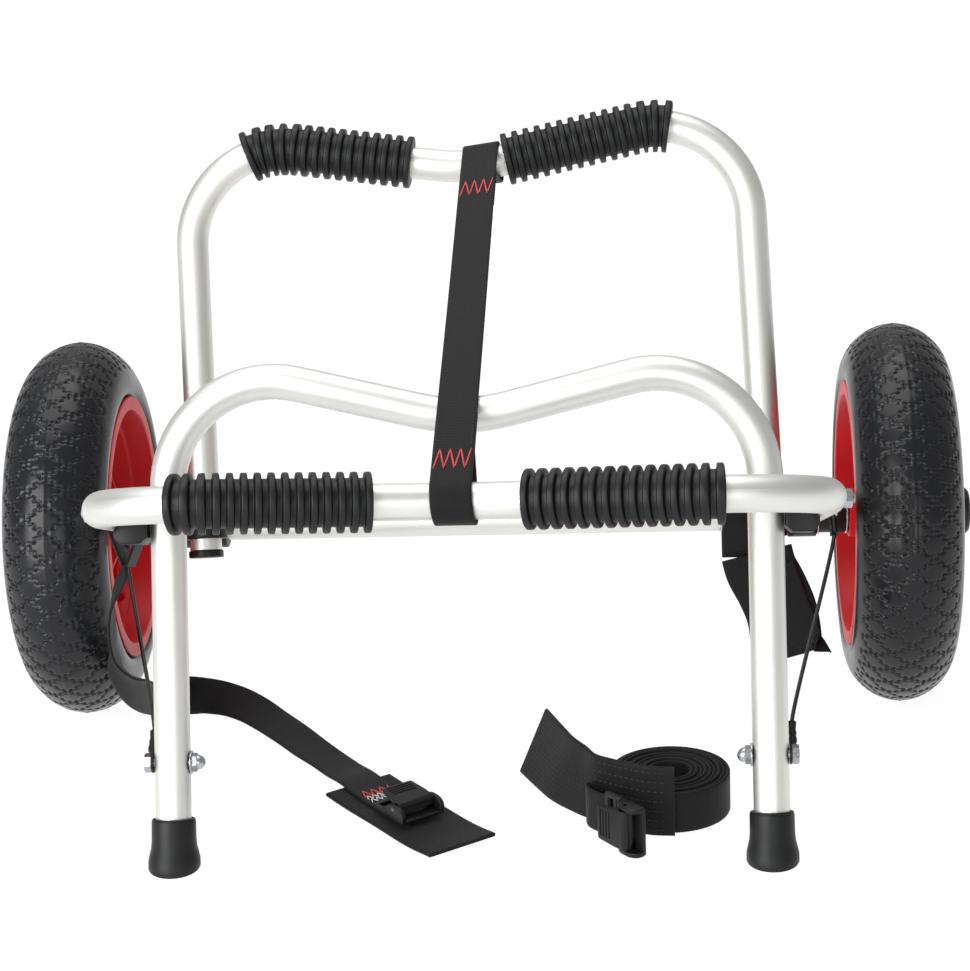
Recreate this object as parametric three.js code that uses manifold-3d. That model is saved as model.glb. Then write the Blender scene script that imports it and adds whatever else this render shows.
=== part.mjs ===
// A folding kayak cart. A wheeled axle carries a fixed rear cradle and a front cradle that hinges
// on it. A stand swings down from the front cradle, a webbing strap spreads the two cradle bars,
// and tie straps with cam buckles hang from the frame and lie beside it.
// Millimetres, X to the right, Y to the back, Z up. The cart is built about the axle's middle and
// then moved, so that the origin is on the ground under the middle of its bounding box.
import * as THREE from "three";
import { mergeVertices } from "three/addons/utils/BufferGeometryUtils.js";
import Module from "manifold-3d";

const wasm = await Module();
wasm.setup();

const { cos, sin, tan, PI } = Math;
const fullTurn = 2 * PI;
const radians = THREE.MathUtils.degToRad;

// Clearances
const fitGap = 0.3; // between two pieces that touch
const bendEase = 1.1; // what a bent tube takes out of a straight bore, besides the fit gap
const overrun = 5; // how far a cutter reaches past what it cuts
const weld = 1e-3; // corners closer than this are one corner

// Tube stock
const tubeRadius = 11;
const tubeWall = 1.6;
const tubeSides = 12;
const boreSides = 8;
const stationTurn = radians(14); // a bend has a ring of corners at each such turn
const leastBendParts = 4;

// Wheels
const wheelRadius = 130;
const tyreWidth = 70;
const tyreShares = [
  // half width, height from the rim's lip to the tread
  [0.93, 0.02],
  [0.985, 0.09],
  [1, 0.2],
  [0.975, 0.34],
  [0.92, 0.47],
  [0.835, 0.6],
  [0.72, 0.72],
  [0.575, 0.83],
  [0.4, 0.92],
  [0.2, 0.98],
  [0, 1],
];
const wheelSteps = 26;
const rimLipRadius = 91.5;
const rimLipHeight = 5.5;
const rimLipWall = 2.4;
const rimWidth = 68.6;
const rimBarrelWall = 4; // at the lips; the dish narrows from there to the web
const rimDishDraft = 9;
const rimWebWall = 6;
const hubRadius = 16.5;
const hubBoreRadius = 14;
const hubLength = 71.9;
const hubInside = 32.4; // from the hub's inner end to the tyre's middle

// Axle
const spacerRadius = 13.5;
const spacerLength = 17.7;
const washerRadius = 14.4;
const washerWall = 1.5;
const hubCapRadius = 16;
const hubCapLength = 10.6;
const hubCapChamfer = 2.2;
const capStemLength = 18;

// Cradle collars on the axle
const collarRadius = 16;
const frontCollarLength = 20;
const frontSpigotLength = 29;
const frontNeckRadius = 9.9;
const rearCollarLength = 24.6;
const legSleeveRadius = 15.2;
const legSleeveLength = 22;
const collarWeb = 2; // material between the axle's bore and the leg's bore
const collarGap = 1.7; // between a front collar and a rear one

// Rear cradle, fixed on the axle
const rearLean = radians(20.5);
const rearSkew = radians(2); // the whole cradle sits this much askew in its own plane
const rearCrest = 264.5;
const rearSlope = radians(10);
const rearTails = { left: 11.8, right: 18 }; // legs below the axle, before the skew
const legCapLength = 5;
const legCapRadius = 12;
const legCapStem = 12;

// Front cradle, hinged on the axle
const frontHalfWidth = 218;
const frontRise = radians(20.2); // of the rails above the level
const frontReach = 312;
const frontSlope = radians(11.4);
const railStart = 16.6;

// Stand, hinged on the front cradle's rails
const standGap = 13.75; // between a stand leg's side and a rail's
const standLean = radians(18);
const standCrest = 296;
const standSlope = radians(13.5);
const standLegStart = 9;
const footHeight = 30;
const footTopRadius = 13.1;
const footWallRadius = 13.6;
const footFlareRadius = 15.9;
const footSideShares = [
  // height, and how much of the flare is reached
  [0, 1],
  [0.17, 1],
  [0.3, 0.62],
  [0.45, 0.22],
  [0.62, 0],
];
const footLipHeight = 1.6;
const footSides = 18;

// Bends, the same in all three cradle bars
const bendRadius = 65;
const dipRadius = 120;

// Hand grips
const gripLength = 116.5;
const rearGripInsets = { left: 38, right: 27 }; // along the bar, from its middle to a grip
const frontGripInsets = { left: 50.4, right: 40.8 };
const gripRibs = 15;
const gripRibRadius = 18;
const gripGrooveRadius = 16.2;
const gripCrownShares = [0.2, 0.66]; // of a rib's pitch, where its crown is and where it falls off
const gripSides = 8;

// Bolts
const boltRadius = 3.2;
const boltHeadRadius = 6;
const boltHeadHeight = 4.2;
const nutHeight = 5;
const acornHeight = 9;
const acornRadius = 5.6;
const acornShares = [
  // radius, and height
  [0.45, 1],
  [0.9, 0.72],
  [1, 0.5],
];
const boltTail = 1.5;
const legBoltHeight = 64; // along the stand's leg
const anchorReach = 97; // along the rail, from the axle
const hexSides = 6;
const boltSides = 10;

// Pivot blocks between the stand's legs and the rails
const blockLength = 27;
const blockTop = 9;
const blockBottom = 20;
const blockChamfer = 4;
const blockShelf = 7.6; // how far the block reaches under the rail
const blockBendGap = 10.3; // between a block's end and the start of the rail's bend

// Lanyards that stop the stand
const wireRadius = 1.3;
const wireSides = 8;
const crimpRadius = 2.7;
const crimpLength = 15;
const eyeletRadius = 6;
const eyeletWall = 1.3;
const wireLead = 26; // how far a lanyard's end keeps its crimp's direction
const wireSteps = 10;

// Spreader strap between the cradle bars
const spreaderWidth = 25;
const webbing = 2;
const seamStart = 32;
const seamLength = 36;
const spreaderRearPlace = 3; // across the cart
const spreaderFrontPlace = -2;
const loopSteps = 16; // in a loop's round part

// Tie straps
const tieWidth = 27;
const padWidth = 50;
const coilPadWidth = 46.5;
const padWall = 2.6;
const tieLoopGap = 24.2; // between the left strap's loop and the pivot block
const tieLoopDrop = 32; // from the rail's middle to the loop's lower tip
const axleLoopWidth = 18.4; // gathered beside the collar
const axleLoopDrop = 30.3;

// Cam buckles
const buckleWidth = 32;
const buckleLength = 38;
const buckleWall = 2.2;
const earWall = 3;
const earHeight = 10;
const earLength = 22;
const slotLength = 5;
const slotBorder = 4;
const leverLength = 20.5;
const leverWall = 3;
const leverCamRadius = 4.4;
const bucklePinRadius = 1.6;
const leverTilt = radians(6);
const pinHeight = 7.2;

// Loose strap, wound into a coil
const coilRadius = 39.5;
const coilCore = 13;
const coilTurns = 9;
const coilSteps = 24;
const coilWall = 1.9;
const coilPlace = [121.3, -200];
const coilStart = radians(200); // where its outer end is, about its middle
const coilBuckleOffset = [-38.8, -39.5, 16.4]; // from the coil's middle on the ground
const leftBuckleOffset = [162, -194, 5.6]; // from the ground under the left rail, at the axle

// Worked out
const axleHeight = wheelRadius;
const tubeBore = tubeRadius - tubeWall;
const flatsOf = (radius, sides) => radius / cos(PI / sides);
const sleeveBore = flatsOf(tubeRadius + fitGap, tubeSides);
const plugRadius = tubeBore * cos(PI / boreSides) - fitGap;
const standHalfWidth = frontHalfWidth - 2 * tubeRadius - standGap;
const frontCollarStart = frontHalfWidth - frontCollarLength / 2;
const rearHalfWidth = frontCollarStart - collarGap - rearCollarLength / 2;
const axleLoopPlace = rearHalfWidth - rearCollarLength / 2 - fitGap - axleLoopWidth / 2;
const pivotReach = frontReach - bendRadius - blockBendGap - blockLength / 2;
const tieLoopReach = pivotReach - blockLength / 2 - tieLoopGap - tieWidth / 2; // along the left rail
const pivotHeight = axleHeight + pivotReach * sin(frontRise);
const standFootPlace = -pivotReach * cos(frontRise) - pivotHeight * tan(standLean);
const innerWasherStart = frontHalfWidth + frontCollarLength / 2 + fitGap;
const spacerStart = innerWasherStart + washerWall + fitGap;
const hubWasherStart = spacerStart + spacerLength + fitGap;
const hubStart = hubWasherStart + washerWall + fitGap;
const hubEnd = hubStart + hubLength;
const halfTrack = hubStart + hubInside;
const hubCapStart = hubEnd + fitGap;
const axleEnd = hubCapStart - fitGap;
const legStandoff = 2 * (tubeRadius + fitGap) + collarWeb;

// Materials
const finish = (color, roughness, metalness) =>
  new THREE.MeshStandardMaterial({ color, roughness, metalness });
const aluminium = finish("#c9cac6", 0.32, 0.95);
const steel = finish("#b9babd", 0.3, 1);
const gripRubber = finish("#232427", 0.75, 0);
const blackPlastic = finish("#1d1d20", 0.55, 0);
const tyreRubber = finish("#26282a", 0.85, 0);
const redPlastic = finish("#c01f22", 0.45, 0);
const blackWebbing = finish("#17171a", 0.95, 0);
const blackWire = finish("#101012", 0.6, 0);

// Solids

/** A geometry as a solid, for joining and cutting. */
function solidOf(geometry) {
  const bare = geometry.clone();
  bare.deleteAttribute("normal");
  bare.deleteAttribute("uv");
  const merged = mergeVertices(bare, weld);
  return new wasm.Manifold(
    new wasm.Mesh({
      numProp: 3,
      vertProperties: merged.attributes.position.array,
      triVerts: new Uint32Array(merged.index.array),
    }),
  );
}

/** A solid as a geometry. */
function geometryOf(solid) {
  const mesh = solid.getMesh();
  const geometry = new THREE.BufferGeometry();
  geometry.setAttribute("position", new THREE.BufferAttribute(mesh.vertProperties, 3));
  geometry.setIndex(new THREE.BufferAttribute(mesh.triVerts, 1));
  geometry.computeVertexNormals();
  return geometry;
}

/** The first geometry with the others joined to it. */
function joined(first, ...others) {
  return geometryOf(others.reduce((all, next) => all.add(solidOf(next)), solidOf(first)));
}

/** The first geometry with the others cut out of it. */
function cut(first, ...others) {
  return geometryOf(others.reduce((all, next) => all.subtract(solidOf(next)), solidOf(first)));
}

// Shapes

/** Corners of a circle, with a flat at each quarter. */
function circle(radius, sides) {
  return Array.from({ length: sides }, (_, i) => {
    const turn = ((i + 1 / 2) / sides) * fullTurn;
    return new THREE.Vector2(radius * cos(turn), radius * sin(turn));
  });
}

/** A disc, or a ring where there is a bore. */
function disc(radius, bore, sides, boredSides = sides) {
  const shape = new THREE.Shape(circle(radius, sides));
  if (bore) shape.holes.push(new THREE.Path(circle(bore, boredSides)));
  return shape;
}

/** A shape extruded along Z from zero. */
function slab(shape, depth) {
  return new THREE.ExtrudeGeometry(shape, { depth, bevelEnabled: false, steps: 1 });
}

/** A rod, or a sleeve where there is a bore, along X between two places. */
function barAlongX(from, to, radius, bore = 0, sides = tubeSides) {
  return slab(disc(radius, bore, sides), to - from)
    .rotateY(PI / 2)
    .translate(from, 0, 0);
}

/** The same along Y. */
function barAlongY(from, to, radius, bore = 0, sides = tubeSides) {
  return slab(disc(radius, bore, sides), to - from)
    .rotateX(-PI / 2)
    .translate(0, from, 0);
}

/** The same along Z. */
function barAlongZ(from, to, radius, bore = 0, sides = tubeSides) {
  return slab(disc(radius, bore, sides), to - from).translate(0, 0, from);
}

/** A block between two corners. */
function block(x0, x1, y0, y1, z0, z1) {
  const box = new THREE.BoxGeometry(x1 - x0, y1 - y0, z1 - z0);
  return box.translate((x0 + x1) / 2, (y0 + y1) / 2, (z0 + z1) / 2);
}

/** A profile of [radius, place] corners turned about X; its outside runs towards +X. */
function turnedAboutX(profile, steps) {
  const corners = profile.map(([radius, place]) => new THREE.Vector2(radius, place));
  return new THREE.LatheGeometry(corners, steps).rotateZ(-PI / 2);
}

/** A skin over rings of equal corner counts, closed by flat ends or into a loop. */
function skin(rings, loop = false) {
  const corners = rings[0].length;
  const places = rings.flat().flatMap((p) => [p.x, p.y, p.z]);
  const faces = [];
  const spans = loop ? rings.length : rings.length - 1;
  for (let i = 0; i < spans; i++) {
    const here = i * corners;
    const next = ((i + 1) % rings.length) * corners;
    for (let j = 0; j < corners; j++) {
      const k = (j + 1) % corners;
      faces.push(here + j, here + k, next + k);
      faces.push(here + j, next + k, next + j);
    }
  }
  if (!loop) {
    const last = (rings.length - 1) * corners;
    for (let j = 1; j < corners - 1; j++) {
      faces.push(0, j + 1, j);
      faces.push(last, last + j, last + j + 1);
    }
  }
  const geometry = new THREE.BufferGeometry();
  geometry.setAttribute("position", new THREE.Float32BufferAttribute(places, 3));
  geometry.setIndex(faces);
  geometry.computeVertexNormals();
  return geometry;
}

/** A route through given stations, so that a straight run costs no extra rings. */
class Route extends THREE.Curve {
  constructor(stations) {
    super();
    this.stations = stations;
  }

  nearest(share) {
    return Math.round(share * (this.stations.length - 1));
  }

  getPointAt(share) {
    return this.stations[this.nearest(share)].clone();
  }

  getTangentAt(share) {
    return bearing(this.stations, this.nearest(share));
  }
}

/** The direction of a line of stations at one of them, halfway between its two runs. */
function bearing(stations, i) {
  const direction = new THREE.Vector3();
  if (i > 0) direction.add(stations[i].clone().sub(stations[i - 1]).normalize());
  if (i < stations.length - 1) {
    direction.add(stations[i + 1].clone().sub(stations[i]).normalize());
  }
  return direction.normalize();
}

/** A tube, or a rod without a bore, through the stations. */
function tubeThrough(stations, radius, bore, sides) {
  return new THREE.ExtrudeGeometry(disc(radius, bore, sides, boreSides), {
    steps: stations.length - 1,
    extrudePath: new Route(stations),
  });
}

/** A route moved across the cart, and along it. */
function moved(route, x, y = 0) {
  return route.map((frame) => [frame[0] + x, frame[1] + y, ...frame.slice(2)]);
}

/** A band through places, each [x, y, z, and the direction of its width], of one thickness. */
function band(frames, width, wall) {
  const places = frames.map(([x, y, z]) => new THREE.Vector3(x, y, z));
  const rings = frames.map(([, , , across], i) => {
    const along = bearing(places, i);
    const wide = new THREE.Vector3(...across);
    wide.addScaledVector(along, -wide.dot(along)).normalize();
    const thick = new THREE.Vector3().crossVectors(along, wide);
    return [
      [-1, -1],
      [1, -1],
      [1, 1],
      [-1, 1],
    ].map(([w, t]) =>
      places[i]
        .clone()
        .addScaledVector(wide, (w * width) / 2)
        .addScaledVector(thick, (t * wall) / 2),
    );
  });
  return skin(rings);
}

// Cradle bars

/** The line of a cradle bar in its own plane: two legs, two shoulders and a dip between them. */
function cradleLine(halfWidth, legStart, crest, slope) {
  const shoulder = crest - bendRadius;
  const run = halfWidth - bendRadius - (bendRadius + dipRadius) * sin(slope);
  const dip = shoulder + bendRadius * cos(slope) - run * tan(slope) - dipRadius * (1 - cos(slope));
  const line = new THREE.Path();
  line.moveTo(-halfWidth, legStart);
  line.lineTo(-halfWidth, shoulder);
  line.absarc(bendRadius - halfWidth, shoulder, bendRadius, PI, PI / 2 - slope, true);
  line.absarc(0, dip + dipRadius, dipRadius, -PI / 2 - slope, slope - PI / 2, false);
  line.absarc(halfWidth - bendRadius, shoulder, bendRadius, PI / 2 + slope, 0, true);
  line.lineTo(halfWidth, legStart);
  const stations = [];
  for (const curve of line.curves) {
    const turned = curve.isEllipseCurve ? Math.abs(curve.aEndAngle - curve.aStartAngle) : 0;
    const parts = turned ? Math.max(leastBendParts, Math.round(turned / stationTurn)) : 1;
    for (const { x, y } of curve.getPoints(parts)) {
      const station = new THREE.Vector3(x, y, 0);
      if (!stations.length || stations.at(-1).distanceTo(station) > weld) stations.push(station);
    }
  }
  return { stations, dip };
}

/** A place at a distance along the stations, the heading there and the station before it. */
function placeAt(stations, distance) {
  let before = 0;
  let left = distance;
  while (left > stations[before].distanceTo(stations[before + 1])) {
    left -= stations[before].distanceTo(stations[before + 1]);
    before++;
  }
  const [from, to] = [stations[before], stations[before + 1]];
  const share = left / from.distanceTo(to);
  const heading = bearing(stations, before).lerp(bearing(stations, before + 1), share).normalize();
  return { place: from.clone().lerp(to, share), heading, before };
}

/** A ribbed grip on a cradle bar's right half, from an inset beside the bar's middle outwards. */
function grip({ stations }, inset) {
  const length = stations.slice(1).reduce((sum, to, i) => sum + to.distanceTo(stations[i]), 0);
  const start = length / 2 + inset;
  const marks = [];
  for (let rib = 0; rib < gripRibs; rib++) {
    const [crown, fall] = gripCrownShares.map((share) => ((rib + share) * gripLength) / gripRibs);
    marks.push([rib ? crown : 0, gripRibRadius], [fall, gripGrooveRadius]);
  }
  marks.push([gripLength, gripRibRadius]);
  const outside = marks.map(([mark, radius]) => {
    const { place, heading } = placeAt(stations, start + mark);
    return roundRing(place, heading, radius);
  });
  const first = placeAt(stations, start);
  const last = placeAt(stations, start + gripLength);
  const bored = [first];
  for (let i = first.before + 1; i <= last.before; i++) {
    bored.push({ place: stations[i], heading: bearing(stations, i) });
  }
  bored.push(last);
  const bore = flatsOf(tubeRadius + fitGap, gripSides);
  const inside = bored.map(({ place, heading }) => roundRing(place, heading, bore));
  return skin([...outside, ...inside.reverse()], true);
}

/** A ring of corners square to a heading in the XY plane. */
function roundRing(place, heading, radius) {
  const side = new THREE.Vector3(-heading.y, heading.x, 0);
  const up = new THREE.Vector3().crossVectors(heading, side);
  return circle(radius, gripSides).map(({ x, y }) =>
    place.clone().addScaledVector(side, x).addScaledVector(up, y),
  );
}

const rearLine = cradleLine(rearHalfWidth, -rearTails.right, rearCrest, rearSlope);
const frontLine = cradleLine(frontHalfWidth, railStart, frontReach, frontSlope);
const standLine = cradleLine(standHalfWidth, standLegStart, standCrest, standSlope);

// Groups: the cart's frame, and the planes of the three cradle bars

const cart = new THREE.Group();
const rearPlane = new THREE.Group();
const frontPlane = new THREE.Group();
const standPlane = new THREE.Group();
cart.add(rearPlane, frontPlane, standPlane);

/** Turns a plane's own Y to a direction in the cart's YZ plane, from a place in it. */
function setPlane(plane, y, z, tilt) {
  plane.position.set(0, y, z);
  plane.rotation.x = tilt;
}
setPlane(rearPlane, 0, axleHeight, PI / 2 - rearLean);
setPlane(frontPlane, 0, axleHeight, PI - frontRise);
setPlane(standPlane, standFootPlace, 0, PI / 2 - standLean);
const rearSheet = new THREE.Group();
rearSheet.position.z = legStandoff;
rearSheet.rotation.z = rearSkew;
rearPlane.add(rearSheet);
cart.updateMatrixWorld(true);

/** Adds a mesh; a side of -1 mirrors it to the left. */
function add(name, geometry, material, group = cart, side = 1) {
  const mesh = new THREE.Mesh(geometry, material);
  mesh.name = name;
  mesh.scale.x = side;
  group.add(mesh);
  return mesh;
}

/** Adds a piece on the right and its mirror image on the left. */
function addPair(name, geometry, material, group = cart) {
  add("right_" + name, geometry, material, group);
  add("left_" + name, geometry, material, group, -1);
}

/** A geometry of one plane, moved into another group's frame. */
function carried(geometry, from, to = cart) {
  const change = to.matrixWorld.clone().invert().multiply(from.matrixWorld);
  return geometry.clone().applyMatrix4(change);
}

// Wheels

function tyre() {
  const seat = flatsOf(rimLipRadius - rimLipHeight + fitGap, wheelSteps);
  const lip = rimLipRadius + fitGap;
  const bead = rimWidth / 2 - rimLipWall - fitGap;
  const height = wheelRadius - lip;
  const upper = tyreShares.map(([width, rise]) => [lip + rise * height, (width * tyreWidth) / 2]);
  const lower = upper.slice(0, -1).map(([radius, place]) => [radius, -place]);
  const profile = [
    [seat, -bead],
    [lip, -bead],
    ...lower,
    ...upper.reverse(),
    [lip, bead],
    [seat, bead],
    [seat, -bead],
  ];
  return turnedAboutX(profile, wheelSteps);
}

function rim() {
  const lip = rimWidth / 2;
  const seat = rimLipRadius - rimLipHeight;
  const mouth = seat - rimBarrelWall;
  const dish = mouth - rimDishDraft;
  const web = rimWebWall / 2;
  const inner = hubStart - halfTrack;
  const outer = hubEnd - halfTrack;
  const profile = [
    [hubBoreRadius, inner],
    [hubRadius, inner],
    [hubRadius, -web],
    [dish, -web],
    [mouth, -lip],
    [rimLipRadius, -lip],
    [rimLipRadius, rimLipWall - lip],
    [seat, rimLipWall - lip],
    [seat, lip - rimLipWall],
    [rimLipRadius, lip - rimLipWall],
    [rimLipRadius, lip],
    [mouth, lip],
    [dish, web],
    [hubRadius, web],
    [hubRadius, outer],
    [hubBoreRadius, outer],
    [hubBoreRadius, inner],
  ];
  return turnedAboutX(profile, wheelSteps);
}

function addWheels() {
  const place = (geometry) => geometry.translate(halfTrack, 0, axleHeight);
  addPair("tyre", place(tyre()), tyreRubber);
  addPair("rim", place(rim()), redPlastic);
  const bushRadius = hubBoreRadius - fitGap;
  const bush = barAlongX(hubStart, hubEnd, bushRadius, sleeveBore).translate(0, 0, axleHeight);
  addPair("wheel_bush", bush, blackPlastic);
}

// Axle

function addAxle() {
  const sleeve = (from, length, radius) =>
    barAlongX(from, from + length, radius, sleeveBore).translate(0, 0, axleHeight);
  add(
    "axle_tube",
    barAlongX(-axleEnd, axleEnd, tubeRadius, tubeBore).translate(0, 0, axleHeight),
    aluminium,
  );
  addPair("frame_washer", sleeve(innerWasherStart, washerWall, washerRadius), steel);
  addPair("axle_spacer", sleeve(spacerStart, spacerLength, spacerRadius), blackPlastic);
  addPair("hub_washer", sleeve(hubWasherStart, washerWall, washerRadius), steel);
  const stem = plugRadius;
  const end = hubCapStart + hubCapLength;
  const cap = turnedAboutX(
    [
      [0, axleEnd - capStemLength],
      [stem, axleEnd - capStemLength],
      [stem, hubCapStart],
      [hubCapRadius, hubCapStart],
      [hubCapRadius, end - hubCapChamfer],
      [hubCapRadius - hubCapChamfer, end],
      [0, end],
    ],
    tubeSides,
  );
  addPair("hub_cap", cap.translate(0, 0, axleHeight), blackPlastic);
}

// Rear cradle

/** A tee that holds one leg of the rear cradle on the axle. */
function rearCollar(side) {
  const middle = side * rearHalfWidth;
  const half = rearCollarLength / 2;
  const level = -middle * tan(rearSkew); // where the leg passes the axle
  const leg = (from, to, radius) =>
    carried(barAlongY(from, to, radius).translate(middle, level, 0), rearSheet);
  const onAxle = (from, to, radius) =>
    barAlongX(from, to, radius).translate(0, 0, axleHeight);
  const sleeves = joined(
    onAxle(middle - half, middle + half, collarRadius),
    leg(-legSleeveLength / 2, legSleeveLength / 2, legSleeveRadius),
  );
  const railSide = frontHalfWidth - tubeRadius - fitGap;
  const far = railSide + legSleeveRadius;
  const trim = block(railSide, far, -far, far, axleHeight - far, axleHeight + far);
  return cut(
    sleeves,
    onAxle(middle - half - overrun, middle + half + overrun, sleeveBore),
    leg(-legSleeveLength, legSleeveLength, sleeveBore),
    side > 0 ? trim : trim.rotateY(PI).translate(0, 0, 2 * axleHeight),
  );
}

function legCap(tail) {
  const stem = plugRadius;
  const top = -tail - fitGap;
  return joined(
    barAlongY(top - legCapLength, top, legCapRadius),
    barAlongY(top - legCapLength / 2, top + legCapStem, stem),
  ).translate(rearHalfWidth, 0, 0);
}

function addRearCradle() {
  const leftEnd = new THREE.Vector3(-rearHalfWidth, -rearTails.left, 0);
  const stations = [leftEnd, ...rearLine.stations.slice(1)];
  const bar = tubeThrough(stations, tubeRadius, tubeBore, tubeSides);
  add("rear_frame", bar, aluminium, rearSheet);
  add("right_rear_collar", rearCollar(1), blackPlastic);
  add("left_rear_collar", rearCollar(-1), blackPlastic);
  add("right_rear_leg_cap", legCap(rearTails.right), blackPlastic, rearSheet);
  add("left_rear_leg_cap", legCap(rearTails.left), blackPlastic, rearSheet, -1);
  add("right_rear_grip", grip(rearLine, rearGripInsets.right), gripRubber, rearSheet);
  add("left_rear_grip", grip(rearLine, rearGripInsets.left), gripRubber, rearSheet, -1);
}

// Front cradle

/** A hole for a bolt, along X at a place of a plane. */
const boltHole = (place, from, to) =>
  barAlongX(from - overrun, to + overrun, flatsOf(boltRadius + fitGap, boltSides), 0, boltSides)
    .translate(0, place, 0);

function frontCollar() {
  const from = frontCollarStart;
  const eye = barAlongX(from, from + frontCollarLength, collarRadius);
  const inside = plugRadius;
  const mid = (tubeRadius + collarRadius) / 2;
  const neck = barAlongY(mid, railStart - fitGap, frontNeckRadius).translate(frontHalfWidth, 0, 0);
  const spigot = barAlongY(mid, railStart + frontSpigotLength, inside).translate(frontHalfWidth, 0, 0);
  const bore = barAlongX(from - overrun, from + frontCollarLength + overrun, sleeveBore);
  return cut(joined(eye, neck, spigot), bore);
}

/** The plastic block that spaces a stand leg off the rail and reaches under the rail. */
function pivotBlock() {
  const inner = standHalfWidth + tubeRadius + fitGap;
  const around = flatsOf(tubeRadius + fitGap, tubeSides);
  const outer = frontHalfWidth - around;
  const shelf = outer + blockShelf;
  const shape = new THREE.Shape();
  shape.moveTo(inner, -blockTop);
  shape.lineTo(outer, -blockTop);
  shape.absarc(frontHalfWidth, 0, around, PI, Math.acos((shelf - frontHalfWidth) / around), true);
  shape.lineTo(shelf, blockBottom - blockChamfer);
  shape.lineTo(shelf - blockChamfer, blockBottom);
  shape.lineTo(inner + blockChamfer, blockBottom);
  shape.lineTo(inner, blockBottom - blockChamfer);
  const slabbed = new THREE.ExtrudeGeometry(shape, {
    depth: blockLength,
    bevelEnabled: false,
    curveSegments: tubeSides,
  });
  slabbed.rotateX(PI / 2).translate(0, pivotReach + blockLength / 2, 0);
  return cut(slabbed, boltHole(pivotReach, inner, frontHalfWidth));
}

/** A bolt along X: a hex head at its start, then the shank. */
function boltAlongX(head, end) {
  return joined(
    barAlongX(head, head + boltHeadHeight, boltHeadRadius, 0, hexSides),
    barAlongX(head + boltHeadHeight / 2, end, boltRadius, 0, boltSides),
  );
}

function nutAlongX(from) {
  return barAlongX(from, from + nutHeight, boltHeadRadius, 0, hexSides);
}

function addFrontCradle() {
  const bar = tubeThrough(frontLine.stations, tubeRadius, tubeBore, tubeSides);
  const holes = [];
  for (const side of [-1, 1]) {
    const rail = side * frontHalfWidth;
    for (const reach of [pivotReach, anchorReach]) {
      holes.push(boltHole(reach, rail - tubeRadius, rail + tubeRadius));
    }
  }
  add("front_frame", cut(bar, ...holes), aluminium, frontPlane);
  addPair("front_collar", frontCollar(), blackPlastic, frontPlane);
  add("right_front_grip", grip(frontLine, frontGripInsets.right), gripRubber, frontPlane);
  add("left_front_grip", grip(frontLine, frontGripInsets.left), gripRubber, frontPlane, -1);
  addPair("pivot_block", pivotBlock(), blackPlastic, frontPlane);

  const head = standHalfWidth - tubeRadius - fitGap - boltHeadHeight;
  const nut = frontHalfWidth + tubeRadius + fitGap;
  const bolt = joined(boltAlongX(head, nut + nutHeight + boltTail), nutAlongX(nut));
  addPair("pivot_bolt", bolt.translate(0, pivotReach, 0), steel, frontPlane);
  const anchorNut = frontHalfWidth - tubeRadius - fitGap - nutHeight;
  const anchor = joined(lanyardBolt(frontHalfWidth, nutHeight), nutAlongX(anchorNut));
  addPair("anchor_bolt", anchor.translate(0, anchorReach, 0), steel, frontPlane);
}

/** A bolt through a tube at a place across, with its head over a lanyard's eyelet outside. */
function lanyardBolt(middle, inward) {
  const head = middle + tubeRadius + 2 * fitGap + eyeletWall;
  const end = middle - tubeRadius - fitGap - inward - boltTail;
  return joined(
    barAlongX(head, head + boltHeadHeight, boltHeadRadius, 0, hexSides),
    barAlongX(end, head + boltHeadHeight / 2, boltRadius, 0, boltSides),
  );
}

// Stand

function foot() {
  const flare = footFlareRadius - footWallRadius;
  const low = -footFlareRadius * tan(standLean) - overrun;
  const side = footSideShares.map(([height, share]) => [
    footWallRadius + share * flare,
    height * footHeight,
  ]);
  const profile = [
    [0, low],
    [footFlareRadius, low],
    ...side,
    [footTopRadius, footHeight - footLipHeight],
    [footTopRadius - footLipHeight / 2, footHeight],
    [0, footHeight],
  ].map(([radius, height]) => new THREE.Vector2(radius, height));
  const turned = new THREE.LatheGeometry(profile, footSides).translate(standHalfWidth, 0, 0);
  const socket = barAlongY(standLegStart - fitGap, footHeight + overrun, sleeveBore)
    .translate(standHalfWidth, 0, 0);
  const reach = 2 * footHeight;
  const [right, middle] = [standHalfWidth + reach, standFootPlace];
  const ground = block(0, right, middle - reach, middle + reach, -reach, 0);
  return cut(turned, socket, carried(ground, cart, standPlane));
}

function addStand() {
  const bar = tubeThrough(standLine.stations, tubeRadius, tubeBore, tubeSides);
  const pivotPlace = standPivotPlace();
  const holes = [];
  for (const side of [-1, 1]) {
    for (const height of [pivotPlace, legBoltHeight]) {
      const leg = side * standHalfWidth;
      holes.push(boltHole(height, leg - tubeRadius, leg + tubeRadius));
    }
  }
  add("stand_frame", cut(bar, ...holes), aluminium, standPlane);
  addPair("stand_foot", foot(), gripRubber, standPlane);
  const inside = standHalfWidth - tubeRadius - fitGap;
  const dome = turnedAboutX(
    [
      [0, inside - acornHeight],
      ...acornShares.map(([radius, height]) => [
        radius * acornRadius,
        inside - height * acornHeight,
      ]),
      [acornRadius, inside],
      [0, inside],
    ],
    hexSides * 2,
  );
  const bolt = joined(lanyardBolt(standHalfWidth, 0), dome).translate(0, legBoltHeight, 0);
  addPair("leg_bolt", bolt, steel, standPlane);
}

/** Where the rails' pivot lies along the stand's leg. */
function standPivotPlace() {
  const pivot = new THREE.Vector3(0, pivotReach, 0).applyMatrix4(frontPlane.matrixWorld);
  return pivot.applyMatrix4(standPlane.matrixWorld.clone().invert()).y;
}

// Spreader strap

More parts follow.
